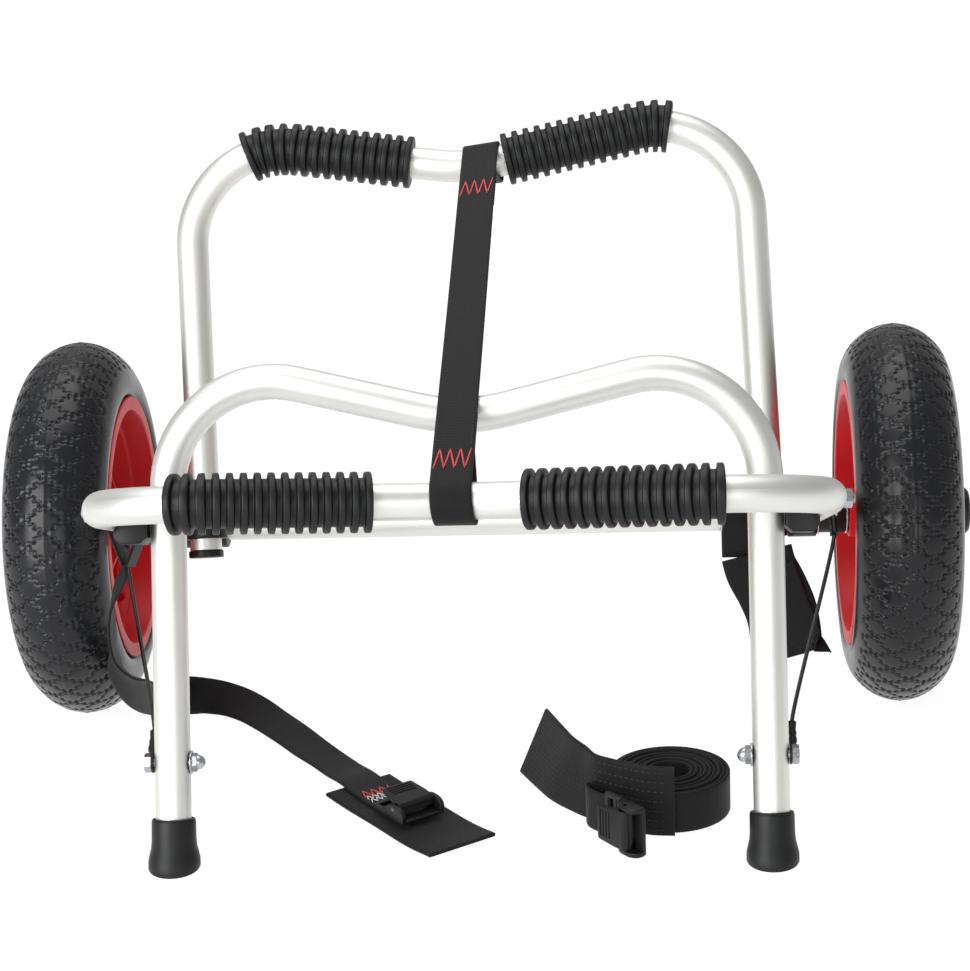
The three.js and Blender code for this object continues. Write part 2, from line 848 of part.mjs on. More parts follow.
/** The strap's side outline along the line between the two bars, with a sewn loop at each end. */
function spreaderOutline(span) {
  const inner = tubeRadius + fitGap + bendEase;
  const outer = inner + webbing;
  const seam = inner - webbing; // the underside where the end is sewn back
  const meetOuter = tangentTurn(seamStart, seam, outer);
  const tip = inner - webbing / 4; // where a loop closes
  const meetInner = tangentTurn(seamStart - webbing, tip, inner);
  const seamEnd = seamStart + seamLength;
  const shape = new THREE.Shape();
  shape.absarc(0, 0, outer, PI / 2, fullTurn + meetOuter, false);
  shape.lineTo(seamStart, seam);
  shape.lineTo(seamEnd, seam);
  shape.lineTo(seamEnd + webbing, inner);
  shape.lineTo(span - seamEnd - webbing, inner);
  shape.lineTo(span - seamEnd, seam);
  shape.lineTo(span - seamStart, seam);
  shape.absarc(span, 0, outer, -PI - meetOuter, PI / 2, false);
  const rearHole = new THREE.Path();
  rearHole.absarc(0, 0, inner, PI / 2, fullTurn + meetInner, false);
  rearHole.lineTo(seamStart - webbing, tip);
  const frontHole = new THREE.Path();
  frontHole.absarc(span, 0, inner, -PI - meetInner, PI / 2, false);
  frontHole.lineTo(span - seamStart + webbing, tip);
  shape.holes.push(rearHole, frontHole);
  return shape;
}

/** The angle at which a line from a place touches a circle about the origin, on its underside. */
function tangentTurn(x, y, radius) {
  return Math.atan2(y, x) - Math.acos(radius / Math.hypot(x, y));
}

/** A cradle bar's middle line near its dip: a place on it and the way it runs there. */
function barAt({ dip }, plane, place) {
  const lowest = new THREE.Vector3(0, dip, 0).applyMatrix4(plane.matrixWorld);
  const turn = Math.asin((place - lowest.x) / dipRadius);
  const middle = new THREE.Vector3(dipRadius * sin(turn), dip + dipRadius * (1 - cos(turn)), 0);
  const run = new THREE.Vector3(cos(turn), sin(turn), 0);
  return {
    middle: middle.applyMatrix4(plane.matrixWorld),
    run: run.transformDirection(plane.matrixWorld),
  };
}

/** The strap between the bars; its width turns from one bar's run to the other's. */
function spreaderStrap() {
  const rear = barAt(rearLine, rearSheet, spreaderRearPlace);
  const front = barAt(frontLine, frontPlane, spreaderFrontPlace);
  const down = front.middle.clone().sub(rear.middle);
  const span = down.length();
  down.normalize();
  const up = new THREE.Vector3().crossVectors(rear.run, down).normalize();
  if (up.z < 0) up.negate();
  const strap = new THREE.ExtrudeGeometry(spreaderOutline(span), {
    depth: spreaderWidth,
    bevelEnabled: false,
    curveSegments: loopSteps,
  });
  const places = strap.getAttribute("position");
  for (let i = 0; i < places.count; i++) {
    const reach = THREE.MathUtils.clamp(places.getX(i) / span, 0, 1);
    const across = rear.run.clone().lerp(front.run, reach).normalize();
    const place = rear.middle
      .clone()
      .addScaledVector(down, places.getX(i))
      .addScaledVector(up, places.getY(i))
      .addScaledVector(across, spreaderWidth / 2 - places.getZ(i));
    places.setXYZ(i, place.x, place.y, place.z);
  }
  strap.computeVertexNormals();
  return strap;
}

// Lanyards

/** Where a lanyard's eyelet sits, beside a tube at a reach along a plane. */
function eyeletPlace(plane, halfWidth, reach) {
  const x = halfWidth + tubeRadius + fitGap;
  return new THREE.Vector3(x, reach, 0).applyMatrix4(plane.matrixWorld);
}

/** An eyelet with its crimp, lying on a tube's outer side at a place and heading to another. */
function lanyardEnd(from, to) {
  const heading = new THREE.Vector3(0, to.y - from.y, to.z - from.z).normalize();
  const outwards = new THREE.Vector3(1, 0, 0);
  const side = new THREE.Vector3().crossVectors(outwards, heading);
  const hole = flatsOf(boltRadius + fitGap, boltSides);
  const start = boltHeadRadius + 2 * fitGap;
  const eye = barAlongZ(0, eyeletWall, eyeletRadius, 0, boltSides);
  const tongue = block(0, start + crimpLength / 2, -crimpRadius / 2, crimpRadius / 2, 0, eyeletWall);
  const crimp = barAlongX(start, start + crimpLength, crimpRadius, 0, wireSides)
    .translate(0, 0, crimpRadius * cos(PI / wireSides));
  const bore = barAlongZ(-overrun, overrun, hole, 0, boltSides);
  return cut(joined(eye, tongue, crimp), bore).applyMatrix4(
    new THREE.Matrix4().makeBasis(heading, side, outwards).setPosition(from),
  );
}

/** The far end of that crimp's middle line, and its heading. */
function crimpEnd(from, to) {
  const heading = new THREE.Vector3(0, to.y - from.y, to.z - from.z).normalize();
  const reach = boltHeadRadius + 2 * fitGap + crimpLength + fitGap;
  const place = from.clone().addScaledVector(heading, reach);
  place.x += crimpRadius * cos(PI / wireSides);
  return { place, heading };
}

function addLanyards() {
  const low = eyeletPlace(standPlane, standHalfWidth, legBoltHeight);
  const high = eyeletPlace(frontPlane, frontHalfWidth, anchorReach);
  addPair("lower_lanyard_end", lanyardEnd(low, high), blackPlastic);
  addPair("upper_lanyard_end", lanyardEnd(high, low), blackPlastic);
  const from = crimpEnd(low, high);
  const to = crimpEnd(high, low);
  const line = new THREE.CubicBezierCurve3(
    from.place,
    from.place.clone().addScaledVector(from.heading, wireLead),
    to.place.clone().addScaledVector(to.heading, wireLead),
    to.place,
  );
  const wire = tubeThrough(line.getSpacedPoints(wireSteps), wireRadius, 0, wireSides);
  addPair("lanyard", wire, blackWire);
}

// Tie straps

/** A webbing loop round a bar along Z, hanging to a tip along X. */
function hangingLoop(drop, width) {
  const inner = tubeRadius + 2 * fitGap;
  const outer = inner + webbing;
  const outerTurn = tangentTurn(drop, -webbing, outer);
  const innerTip = drop - 3 * webbing;
  const innerTurn = tangentTurn(innerTip, 0, inner);
  const shape = new THREE.Shape();
  shape.absarc(0, 0, outer, -outerTurn, fullTurn + outerTurn, false);
  shape.lineTo(drop, -webbing);
  shape.lineTo(drop, webbing);
  const hole = new THREE.Path();
  hole.absarc(0, 0, inner, -innerTurn, fullTurn + innerTurn, false);
  hole.lineTo(innerTip, 0);
  shape.holes.push(hole);
  return new THREE.ExtrudeGeometry(shape, {
    depth: width,
    bevelEnabled: false,
    curveSegments: loopSteps / 2,
  }).translate(0, 0, -width / 2);
}

/** Puts a geometry's X and Z along two directions, at a place. */
function turned(geometry, alongX, alongZ, place) {
  const x = new THREE.Vector3(...alongX).normalize();
  const z = new THREE.Vector3(...alongZ).normalize();
  const y = new THREE.Vector3().crossVectors(z, x).normalize();
  z.crossVectors(x, y);
  return geometry.applyMatrix4(new THREE.Matrix4().makeBasis(x, y, z).setPosition(...place));
}

// The left strap hangs from the left rail, turns round as it falls, and lies on the ground
// behind the stand's leg up to its buckle. Each place is [x, y, z, the way its width points],
// with x from the left rail's middle.
const leftHanging = [
  [-1, -173.7, 156.7, [0, -0.94, 0.34]],
  [-6, -174.5, 149, [0, -0.95, 0.3]],
  [-11.5, -176, 136, [0, -1, 0.2]],
  [-13, -177, 118, [0.05, -1, 0.1]],
  [-12.5, -176, 104, [0.35, -0.9, 0.05]],
  [-11, -170, 91, [0.6, -0.75, -0.2]],
  [-8.5, -157, 76, [0.7, -0.5, -0.5]],
  [-6, -137, 59, [0.6, -0.1, -0.8]],
  [-4.5, -110, 44, [0.3, 0.3, -0.9]],
  [-4, -80, 31, [0.1, 0.5, -0.85]],
];
const leftLying = [
  [-3.9, -79.4, 30.8, [0.1, 0.5, -0.85]],
  [-3, -52, 20, [-0.3, 0.3, -0.8]],
  [2, -30, 13.5, [-0.6, -0.1, -0.7]],
  [13, -23, 9.6, [-0.2, -0.9, -0.4]],
  [33, -28, 7.6, [-0.1, -0.95, -0.34]],
  [50, -40.5, 6.6, [-0.4, -0.9, -0.28]],
  [65.4, -57.5, 5.4, [-0.6, -0.8, -0.2]],
  [83, -80, 4.2, [-0.75, -0.6, -0.12]],
  [100.5, -104.5, 3, [-0.8, -0.6, -0.06]],
  [114, -122.5, 2.4, [-0.8, -0.6, 0]],
  [125, -139.5, 3, [-0.79, -0.61, 0]],
  [136, -157, 4.9, [-0.79, -0.61, 0]],
  [150, -178, 4.2, [-0.79, -0.61, 0]],
  [171, -205.5, 4.2, [-0.79, -0.61, 0]],
];
const leftPad = [
  [137.4, -162, 2, [-0.77, -0.64, 0]],
  [147, -174.5, 1.5, [-0.78, -0.62, 0]],
  [173, -208, 1.5, [-0.79, -0.61, 0]],
  [199, -241.5, 1.6, [-0.8, -0.6, 0]],
  [211.3, -257.5, 3.6, [-0.8, -0.6, 0]],
];
// The right strap is folded up and hangs from the axle; x is from its loop's middle.
const rightPad = [
  [14.8, -3.7, 103, [1, 0, 0]],
  [17.3, -5, 93, [1, 0, 0.2]],
  [24.8, -7, 78, [1, 0, 0.28]],
  [31.3, -8.5, 62, [1, 0, 0.2]],
  [35.8, -9, 46, [1, 0, 0.16]],
  [37.3, -9, 32, [1, 0, 0.2]],
];
const rightTail = [
  [31.8, -8.6, 94, [1, 0, 0.2]],
  [37.8, -10.4, 80, [1, 0, 0.1]],
  [44.3, -11.6, 62, [1, 0, -0.1]],
  [50.3, -12.4, 48, [0.95, -0.05, -0.3]],
  [56.3, -13.2, 36, [0.9, -0.15, -0.4]],
];

function addTieStraps() {
  const loop = turned(
    hangingLoop(tieLoopDrop, tieWidth),
    [0, 0, 1],
    [0, 1, 0],
    [-frontHalfWidth, tieLoopReach, 0],
  );
  add("left_strap_loop", loop, blackWebbing, frontPlane);
  const leftBand = (route, width, wall) => band(moved(route, -frontHalfWidth), width, wall);
  add("left_strap_hanging", leftBand(leftHanging, tieWidth, webbing), blackWebbing);
  add("left_strap_lying", leftBand(leftLying, tieWidth, webbing), blackWebbing);
  add("left_strap_pad", leftBand(leftPad, padWidth, padWall), blackWebbing);
  const axleLoop = turned(
    hangingLoop(axleLoopDrop, axleLoopWidth),
    [0, 0, -1],
    [1, 0, 0],
    [axleLoopPlace, 0, axleHeight],
  );
  add("right_strap_loop", axleLoop, blackWebbing);
  const rightBand = (route, width, wall) => band(moved(route, axleLoopPlace), width, wall);
  add("right_strap_pad", rightBand(rightPad, padWidth, padWall), blackWebbing);
  add("right_strap_tail", rightBand(rightTail, tieWidth, webbing), blackWebbing);
}

// Cam buckles, along X from the sewn end, standing up on Z

function buckleFrame() {
  const half = buckleWidth / 2;
  const slot = half - slotBorder;
  const plate = block(0, buckleLength, -half, half, 0, buckleWall);
  const pinPlace = buckleLength - earLength / 2;
  const ear = (from) =>
    block(buckleLength - earLength, buckleLength, from, from + earWall, 0, earHeight);
  return cut(
    joined(plate, ear(-half), ear(half - earWall)),
    block(slotBorder, slotBorder + slotLength, -slot, slot, -overrun, overrun),
    pinBore(half).translate(pinPlace, 0, pinHeight),
  );
}

/** A cutter for the pin's hole, across a buckle of a half width. */
function pinBore(half) {
  const radius = flatsOf(bucklePinRadius + fitGap, boltSides);
  return barAlongY(-half - overrun, half + overrun, radius, 0, boltSides);
}

function bucklePin() {
  const half = buckleWidth / 2;
  const pinPlace = buckleLength - earLength / 2;
  return barAlongY(-half, half, bucklePinRadius, 0, boltSides).translate(pinPlace, 0, pinHeight);
}

/** The lever: a cam round the pin and a plate that lies back over the frame. */
function buckleLever() {
  const half = buckleWidth / 2 - earWall - fitGap;
  const pinPlace = buckleLength - earLength / 2;
  const cam = barAlongY(-half, half, leverCamRadius, 0, boltSides);
  const top = leverCamRadius - fitGap;
  const plate = block(-leverLength, 0, -half, half, top - leverWall, top);
  const lever = cut(joined(cam, plate.rotateY(leverTilt)), pinBore(half));
  return lever.translate(pinPlace, 0, pinHeight);
}

/** Adds a buckle with its sewn end at a place, running one way, standing up another. */
function addBuckle(name, along, up, place) {
  const put = (geometry) => turned(geometry, along, up, place);
  add(name + "_buckle_frame", put(buckleFrame()), blackPlastic);
  add(name + "_buckle_pin", put(bucklePin()), steel);
  add(name + "_buckle_lever", put(buckleLever()), blackPlastic);
}

// Loose strap

/** The coil: one unbroken band on its edge, winding in from its outer end at a steady rate. */
function coilFrames() {
  const steps = coilTurns * coilSteps;
  const [x, y] = coilPlace;
  const outer = coilRadius - coilWall / 2;
  return Array.from({ length: steps + 1 }, (_, i) => {
    const turn = coilStart + (i / coilSteps) * fullTurn;
    const radius = outer + (coilCore - outer) * (i / steps);
    return [x + radius * cos(turn), y + radius * sin(turn), tieWidth / 2, [0, 0, 1]];
  });
}

/** The least gap between one turn of the coil and the next, measured on its corners. */
function leastCoilGap(frames) {
  const [x, y] = coilPlace;
  const far = ([px, py]) => Math.hypot(px - x, py - y);
  const gaps = frames.slice(coilSteps).map((frame, i) => far(frames[i]) - far(frame) - coilWall);
  return Math.min(...gaps);
}

// The pad stands on its edge, comes in from the back left and lies round the coil's front. Its
// places, and the tab's, are from the coil's middle.
const coilPad = [
  [-87.1, 59.7, 22.4, [0.4, 0.16, 0.9]],
  [-76.8, 34, 22.8, [0.38, 0, 0.92]],
  [-67.1, 11.8, 23.3, [0.36, -0.14, 0.92]],
  [-56.5, -4.5, 23.6, [0.3, -0.2, 0.92]],
  [-46.3, -17.9, 23.8, [0.23, -0.28, 0.93]],
  [-35.9, -26.3, 23.8, [0.12, -0.14, 0.98]],
  [-25.3, -32.8, 23.7, [0.03, -0.05, 1]],
  [-14.1, -39, 23.6, [0, 0, 1]],
  [2.7, -41.5, 23.6, [0, 0, 1]],
];

// A short tab, sewn on the pad's front, bends back and holds the buckle.
const coilTab = [
  [-44.3, -19.4, 14.6, [0, 0, 1]],
  [-51.1, -21.5, 14.6, [0, 0, 1]],
  [-50.5, -27, 14.6, [0, 0, 1]],
  [-45.3, -34.5, 14.6, [0, 0, 1]],
  [-39.9, -39.9, 14.6, [0, 0, 1]],
];

function addLooseStrap() {
  const frames = coilFrames();
  console.log("least gap in the coil", leastCoilGap(frames).toFixed(2), "mm");
  add("coil_strap", band(frames, tieWidth, coilWall), blackWebbing);
  const pad = joined(
    band(moved(coilPad, ...coilPlace), coilPadWidth, padWall),
    band(moved(coilTab, ...coilPlace), tieWidth, webbing),
  );
  add("coil_pad", pad, blackWebbing);
}

addWheels();
addAxle();
addRearCradle();
addFrontCradle();
addStand();
add("spreader_strap", spreaderStrap(), blackWebbing);
addLanyards();
addTieStraps();
const [leftBucklePlace] = moved([leftBuckleOffset], -frontHalfWidth);
addBuckle("left", [0.61, -0.79, 0], [0, 0, 1], leftBucklePlace);
addLooseStrap();
const [coilBucklePlace] = moved([coilBuckleOffset], ...coilPlace);
addBuckle("coil", [0.62, -0.78, 0], [-0.78, -0.62, 0], coilBucklePlace);

// The cart is moved as a whole, so that the origin lies under the middle of its bounding box.
const part = new THREE.Group();
part.add(cart);
const bounds = new THREE.Box3().setFromObject(part, true);
const middle = bounds.getCenter(new THREE.Vector3());
cart.position.set(-middle.x, -middle.y, -bounds.min.z);

export default part;
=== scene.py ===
"""A folding kayak cart: its looks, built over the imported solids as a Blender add-on.

The cart stands on two foam-filled wheels and a swing-down stand. Satin aluminium bars carry
ribbed rubber grips, and black polyester webbing spreads the bars and ties the hull.
"""

import math

import bmesh
import bpy
import numpy as np
from bpy.props import FloatProperty, FloatVectorProperty, IntProperty, PointerProperty
from mathutils import Matrix, Vector


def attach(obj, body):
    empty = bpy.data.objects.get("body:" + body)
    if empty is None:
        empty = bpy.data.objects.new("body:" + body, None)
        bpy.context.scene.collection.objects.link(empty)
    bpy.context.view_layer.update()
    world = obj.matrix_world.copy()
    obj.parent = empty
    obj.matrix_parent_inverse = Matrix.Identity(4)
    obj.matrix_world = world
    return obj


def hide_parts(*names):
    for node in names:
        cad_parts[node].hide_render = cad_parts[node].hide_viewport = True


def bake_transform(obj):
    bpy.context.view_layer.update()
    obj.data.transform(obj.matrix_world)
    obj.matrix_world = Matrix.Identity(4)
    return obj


bl_info = {
    "name": "Kayak Cart",
    "version": (1, 0, 0),
    "blender": (4, 5, 0),
    "location": "View3D > Sidebar > Kayak Cart",
    "description": "Builds the dressed surfaces of a folding kayak cart",
    "category": "Object",
}

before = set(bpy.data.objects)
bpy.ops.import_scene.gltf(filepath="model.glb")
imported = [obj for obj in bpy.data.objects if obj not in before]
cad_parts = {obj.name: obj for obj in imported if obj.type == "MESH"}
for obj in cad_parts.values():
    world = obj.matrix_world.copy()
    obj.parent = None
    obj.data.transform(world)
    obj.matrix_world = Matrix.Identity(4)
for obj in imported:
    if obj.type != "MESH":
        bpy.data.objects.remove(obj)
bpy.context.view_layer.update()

MM = 0.001
FULL_TURN = 2 * math.pi
X_WAY = np.array([1.0, 0.0, 0.0])
Y_WAY = np.array([0.0, 1.0, 0.0])
Z_WAY = np.array([0.0, 0.0, 1.0])

# The axle's middle, and the bar planes that start from it or from the stand's feet
AXLE = np.array([0.0, 0.090764, 0.130])
STAND_FOOT = np.array([0.0, -0.185989, 0.0])
REAR_LEAN = math.radians(20.5)
REAR_SKEW = math.radians(2)
REAR_STANDOFF = 0.0246
REAR_TAILS = {"left": 0.0118, "right": 0.018}
FRONT_RISE = math.radians(20.2)
STAND_LEAN = math.radians(18)

# Each bar's half width, crest and slope off its shoulders
REAR_HALF, FRONT_HALF, STAND_HALF = 0.194, 0.218, 0.18225
REAR_SHAPE = (REAR_HALF, 0.2645, math.radians(10))
FRONT_SHAPE = (FRONT_HALF, 0.312, math.radians(11.4))
STAND_SHAPE = (STAND_HALF, 0.296, math.radians(13.5))
TUBE_RADIUS = 0.011

# Places along the front bar's rails and along the stand's legs
PIVOT_AT, ANCHOR_AT = 0.2232, 0.097
LEG_BOLT_AT = 0.064

# Bolts, and the gap left between a fitting and its tube
GAP = 0.0003
BOLT_HEX, HEAD_HEIGHT, NUT_HEIGHT = 0.006, 0.0042, 0.005
SHANK_RADIUS, SHANK_PROUD = 0.0032, 0.0015
EYELET_WALL, WIRE_RADIUS = 0.0013, 0.0013

# Sleeves on the axle, and a wheel's hub from its inner end to its outer one
SLEEVE_RADIUS, TEE_HALF = 0.016, 0.0123
HUB_INNER, HUB_OUTER = -0.0324, 0.0395

# Middle-line radius of a strap's loop, and how far apart a tie strap's layers are at its neck
LOOP_RADIUS, LOOP_LAYERS = 0.0127, 0.002
SPREADER_LOOP = 0.0134

# The pin of a cam buckle, in the buckle's own frame
BUCKLE_PIN = np.array([0.027, 0.0, 0.0072])

# The camera that was fitted to the photograph
CAMERA_PLACE, CAMERA_LENS = (0.10429, -1.56914, 0.66873), 92.978


# Sizes and colours that a user would change


class CartBarSizes(bpy.types.PropertyGroup):
    """Sizes of the bent bars."""

    tube_radius: FloatProperty(
        name="Tube radius", description="Outside radius of all tubes", default=TUBE_RADIUS, unit="LENGTH"
    )
    tube_wall: FloatProperty(
        name="Tube wall", description="Wall of all tubes", default=0.0016, unit="LENGTH"
    )
    bend_radius: FloatProperty(
        name="Shoulder bend", description="Middle-line radius of a shoulder", default=0.065, unit="LENGTH"
    )
    dip_radius: FloatProperty(
        name="Dip bend", description="Middle-line radius of the dip", default=0.120, unit="LENGTH"
    )
    tube_sides: IntProperty(name="Tube sides", description="Faces round a tube", default=48, min=12)


class CartGripSizes(bpy.types.PropertyGroup):
    """Sizes of the four ribbed grips."""

    length: FloatProperty(
        name="Length", description="Length of one grip", default=0.1165, unit="LENGTH"
    )
    rib_radius: FloatProperty(
        name="Rib radius", description="Outside radius of a rib", default=0.018, unit="LENGTH"
    )
    groove_radius: FloatProperty(
        name="Groove radius", description="Radius between two ribs", default=0.0144, unit="LENGTH"
    )
    rib_width: FloatProperty(
        name="Rib width", description="Width of one rib", default=0.0046, unit="LENGTH"
    )
    ribs: IntProperty(name="Ribs", description="Ribs on one grip", default=15, min=2)


class CartWheelSizes(bpy.types.PropertyGroup):
    """Sizes of the wheels."""

    track: FloatProperty(
        name="Track", description="Between the middles of the tyres", default=0.5646, unit="LENGTH"
    )
    radius: FloatProperty(
        name="Tyre radius", description="Outside radius of a tyre", default=0.130, unit="LENGTH"
    )
    width: FloatProperty(
        name="Tyre width", description="Widest part of a tyre", default=0.070, unit="LENGTH"
    )
    groove: FloatProperty(
        name="Tread groove", description="Depth of a groove in the tread", default=0.0016, unit="LENGTH"
    )
    blocks: IntProperty(name="Tread blocks", description="Blocks round the tread", default=44, min=12)


class CartWebbingSizes(bpy.types.PropertyGroup):
    """Sizes of the webbing."""

    wall: FloatProperty(
        name="Wall", description="Thickness of narrow webbing", default=0.0019, unit="LENGTH"
    )
    tie_width: FloatProperty(
        name="Tie width", description="Width of the tie straps", default=0.027, unit="LENGTH"
    )
    spreader_width: FloatProperty(
        name="Spreader width", description="Width of the strap between bars", default=0.025, unit="LENGTH"
    )
    pad_width: FloatProperty(
        name="Pad width", description="Width of the wide pads", default=0.050, unit="LENGTH"
    )
    pad_wall: FloatProperty(
        name="Pad wall", description="Thickness of the wide pads", default=0.0026, unit="LENGTH"
    )
    coil_turns: IntProperty(name="Coil turns", description="Turns of the coiled strap", default=9, min=2)


def colour(name, description, value):
    """A colour property whose default is an sRGB hex value turned to linear."""
    return FloatVectorProperty(
        name=name, description=description, subtype="COLOR", size=3, min=0, max=1, default=linear(value)
    )


def linear(value):
    """An sRGB hex value as linear red, green and blue."""
    parts = [int(value[i : i + 2], 16) / 255 for i in (1, 3, 5)]
    return tuple(p / 12.92 if p <= 0.04045 else ((p + 0.055) / 1.055) ** 2.4 for p in parts)


class CartColours(bpy.types.PropertyGroup):
    """Colours of the finishes."""

    aluminium: colour("Aluminium", "Satin drawn aluminium tube", "#e3e3e0")
    steel: colour("Steel", "Bright zinc plate", "#b4b6ba")
    grip: colour("Grip", "Moulded grip rubber", "#101113")
    plastic: colour("Plastic", "Moulded black nylon", "#0f0f11")
    tyre: colour("Tyre", "Moulded polyurethane tyre", "#111215")
    rim: colour("Rim", "Moulded red polypropylene", "#cc1319")
    webbing: colour("Webbing", "Woven black polyester", "#0f0f11")
    wire: colour("Wire", "Black vinyl jacket on the lanyards", "#0c0c0d")
    red_thread: colour("Red thread", "Bar tacks on the spreader", "#d23a3c")
    pale_thread: colour("Pale thread", "Stitches on the pads", "#c9c4c2")


# Shapes as whole arrays


def unit(vectors):
    """Each vector over its own length."""
    return vectors / np.linalg.norm(vectors, axis=-1, keepdims=True)


def lengths(path):
    """Distance along a path of points at each of them, from zero."""
    steps = np.linalg.norm(np.diff(path, axis=0), axis=-1)
    return np.concatenate([[0.0], np.cumsum(steps)])


def headings(path, closed=False):
    """Unit heading at each point: the next point less the one before."""
    if closed:
        return unit(np.roll(path, -1, 0) - np.roll(path, 1, 0))
    middle = path[2:] - path[:-2]
    return unit(np.concatenate([path[1:2] - path[:1], middle, path[-1:] - path[-2:-1]]))


def through(places, count):
    """A smooth curve through places, at `count` even steps of its length.

    Between two places it is the cubic whose slope at each place is that of the line between the
    places on both sides: h00*p0 + h10*m0 + h01*p1 + h11*m1, on the distance between the places.
    """
    at = lengths(places[:, :3])
    slope = np.gradient(places, at, axis=0)
    fine = np.linspace(0, at[-1], count * 8)
    k = np.clip(np.searchsorted(at, fine, side="right") - 1, 0, len(at) - 2)
    span = (at[k + 1] - at[k])[:, None]
    t = (fine - at[k])[:, None] / span
    curve = (
        (2 * t**3 - 3 * t**2 + 1) * places[k]
        + (t**3 - 2 * t**2 + t) * span * slope[k]
        + (3 * t**2 - 2 * t**3) * places[k + 1]
        + (t**3 - t**2) * span * slope[k + 1]
    )
    far = lengths(curve[:, :3])
    even = np.linspace(0, far[-1], count)
    return np.stack([np.interp(even, far, column) for column in curve.T], 1)


def eased(corners, radius, steps=5, closed=True):
    """A polyline whose corners are drawn as curves that start `radius` before and end as far after.

    Each curve is (1-t)^2*a + 2t(1-t)*corner + t^2*b, and a radius is held to 0.45 of its side.
    """
    corners = np.asarray(corners, float)
    before = np.roll(corners, 1, 0) - corners
    after = np.roll(corners, -1, 0) - corners
    to_before = np.linalg.norm(before, axis=-1, keepdims=True)
    to_after = np.linalg.norm(after, axis=-1, keepdims=True)
    radius = np.broadcast_to(radius, (len(corners),))[:, None]
    a = corners + before / to_before * np.minimum(radius, 0.45 * to_before)
    b = corners + after / to_after * np.minimum(radius, 0.45 * to_after)
    t = np.linspace(0, 1, steps)[None, :, None]
    curves = (1 - t) ** 2 * a[:, None] + 2 * t * (1 - t) * corners[:, None] + t**2 * b[:, None]
    if closed:
        return curves.reshape(-1, corners.shape[-1])
    inner = curves[1:-1].reshape(-1, corners.shape[-1])
    return np.concatenate([corners[:1], inner, corners[-1:]])


def ring(radius, sides):
    """Points of a circle: radius * (cos t, sin t)."""
    t = np.arange(sides) / sides * FULL_TURN
    return radius * np.stack([np.cos(t), np.sin(t)], -1)


def oblong(left, right, low, high):
    """The four corners of an oblong, from its lower left one round by its lower right one."""
    return [(left, low), (right, low), (right, high), (left, high)]


def flat_band(width, wall, across=10, round_share=0.46):
    """A strap's section: a flat oblong whose two edges are rounded."""
    w, h = width / 2, wall / 2
    along = np.linspace(-1, 1, across)
    top = np.stack([along * (w - h), np.full(across, h)], -1)
    turn = np.linspace(math.pi / 2, -math.pi / 2, 5)[1:-1]
    edge = np.stack([w - h + h * 2 * round_share * np.cos(turn), h * np.sin(turn)], -1)
    return np.concatenate([top, edge, -top, -edge])


def carried(path, across, profile, closed=False):
    """A profile carried along a path: place + x*wide + y*thick.

    Wide is `across` made square to the heading, and thick is heading x wide.
    """
    along = headings(path, closed)
    across = np.broadcast_to(across, path.shape)
    wide = unit(across - (across * along).sum(-1, keepdims=True) * along)
    thick = np.cross(along, wide)
    profile = np.broadcast_to(profile, (len(path),) + np.shape(profile)[-2:])
    return (
        path[:, None]
        + profile[..., 0, None] * wide[:, None]
        + profile[..., 1, None] * thick[:, None]
    )


def turned(profile, steps, origin, axis):
    """A profile of (radius, place) turned: origin + place*axis + radius*(cos t*side + sin t*up)."""
    axis = unit(np.asarray(axis, float))
    side = unit(np.cross(axis, X_WAY if abs(axis[0]) < 0.9 else Y_WAY))
    up = np.cross(axis, side)
    t = (np.arange(steps) / steps * FULL_TURN)[None, :, None]
    radius = np.asarray(profile)[:, None, 0:1]
    place = np.asarray(profile)[:, None, 1:2]
    return origin + place * axis + radius * (np.cos(t) * side + np.sin(t) * up)


def plane_matrix(origin, tilt, standoff=0.0, skew=0.0):
    """The frame of a bar's plane: its Y leans by a tilt about X; then a standoff and a skew."""
    made = Matrix.Translation(origin) @ Matrix.Rotation(tilt, 4, "X")
    made = made @ Matrix.Translation((0, 0, standoff)) @ Matrix.Rotation(skew, 4, "Z")
    return np.array(made)


def on_plane(points, matrix):
    """Points of a bar's plane in the cart's frame: matrix * point."""
    return np.asarray(points) @ matrix[:3, :3].T + matrix[:3, 3]


def ways(matrix):
    """The three directions of a plane's frame."""
    return matrix[:3, 0], matrix[:3, 1], matrix[:3, 2]


REAR = plane_matrix(AXLE, math.pi / 2 - REAR_LEAN, REAR_STANDOFF, REAR_SKEW)
FRONT = plane_matrix(AXLE, math.pi - FRONT_RISE)
STAND = plane_matrix(STAND_FOOT, math.pi / 2 - STAND_LEAN)


def bar_line(half_width, crest, slope, leg_start, sizes, arc_steps=20):
    """A bar's middle line in its plane: two legs, two shoulder arcs and the dip arc between them.

    The dip's middle is where the slopes off both shoulders meet its arc.
    """
    bend, dip_bend = sizes.bend_radius, sizes.dip_radius
    shoulder = crest - bend
    run = half_width - bend - (bend + dip_bend) * math.sin(slope)
    dip = shoulder + bend * math.cos(slope) - run * math.tan(slope) - dip_bend * (1 - math.cos(slope))

    def arc(x, y, radius, start, end):
        turn = np.linspace(start, end, arc_steps)
        return np.stack([x + radius * np.cos(turn), y + radius * np.sin(turn), 0 * turn], -1)

    half = math.pi / 2
    parts = [
        np.array([[-half_width, leg_start, 0.0]]),
        arc(bend - half_width, shoulder, bend, math.pi, half - slope),
        arc(0, dip + dip_bend, dip_bend, -half - slope, slope - half),
        arc(half_width - bend, shoulder, bend, half + slope, 0),
        np.array([[half_width, leg_start, 0.0]]),
    ]
    return np.concatenate(parts), dip


# The finishes by name
finishes = {}


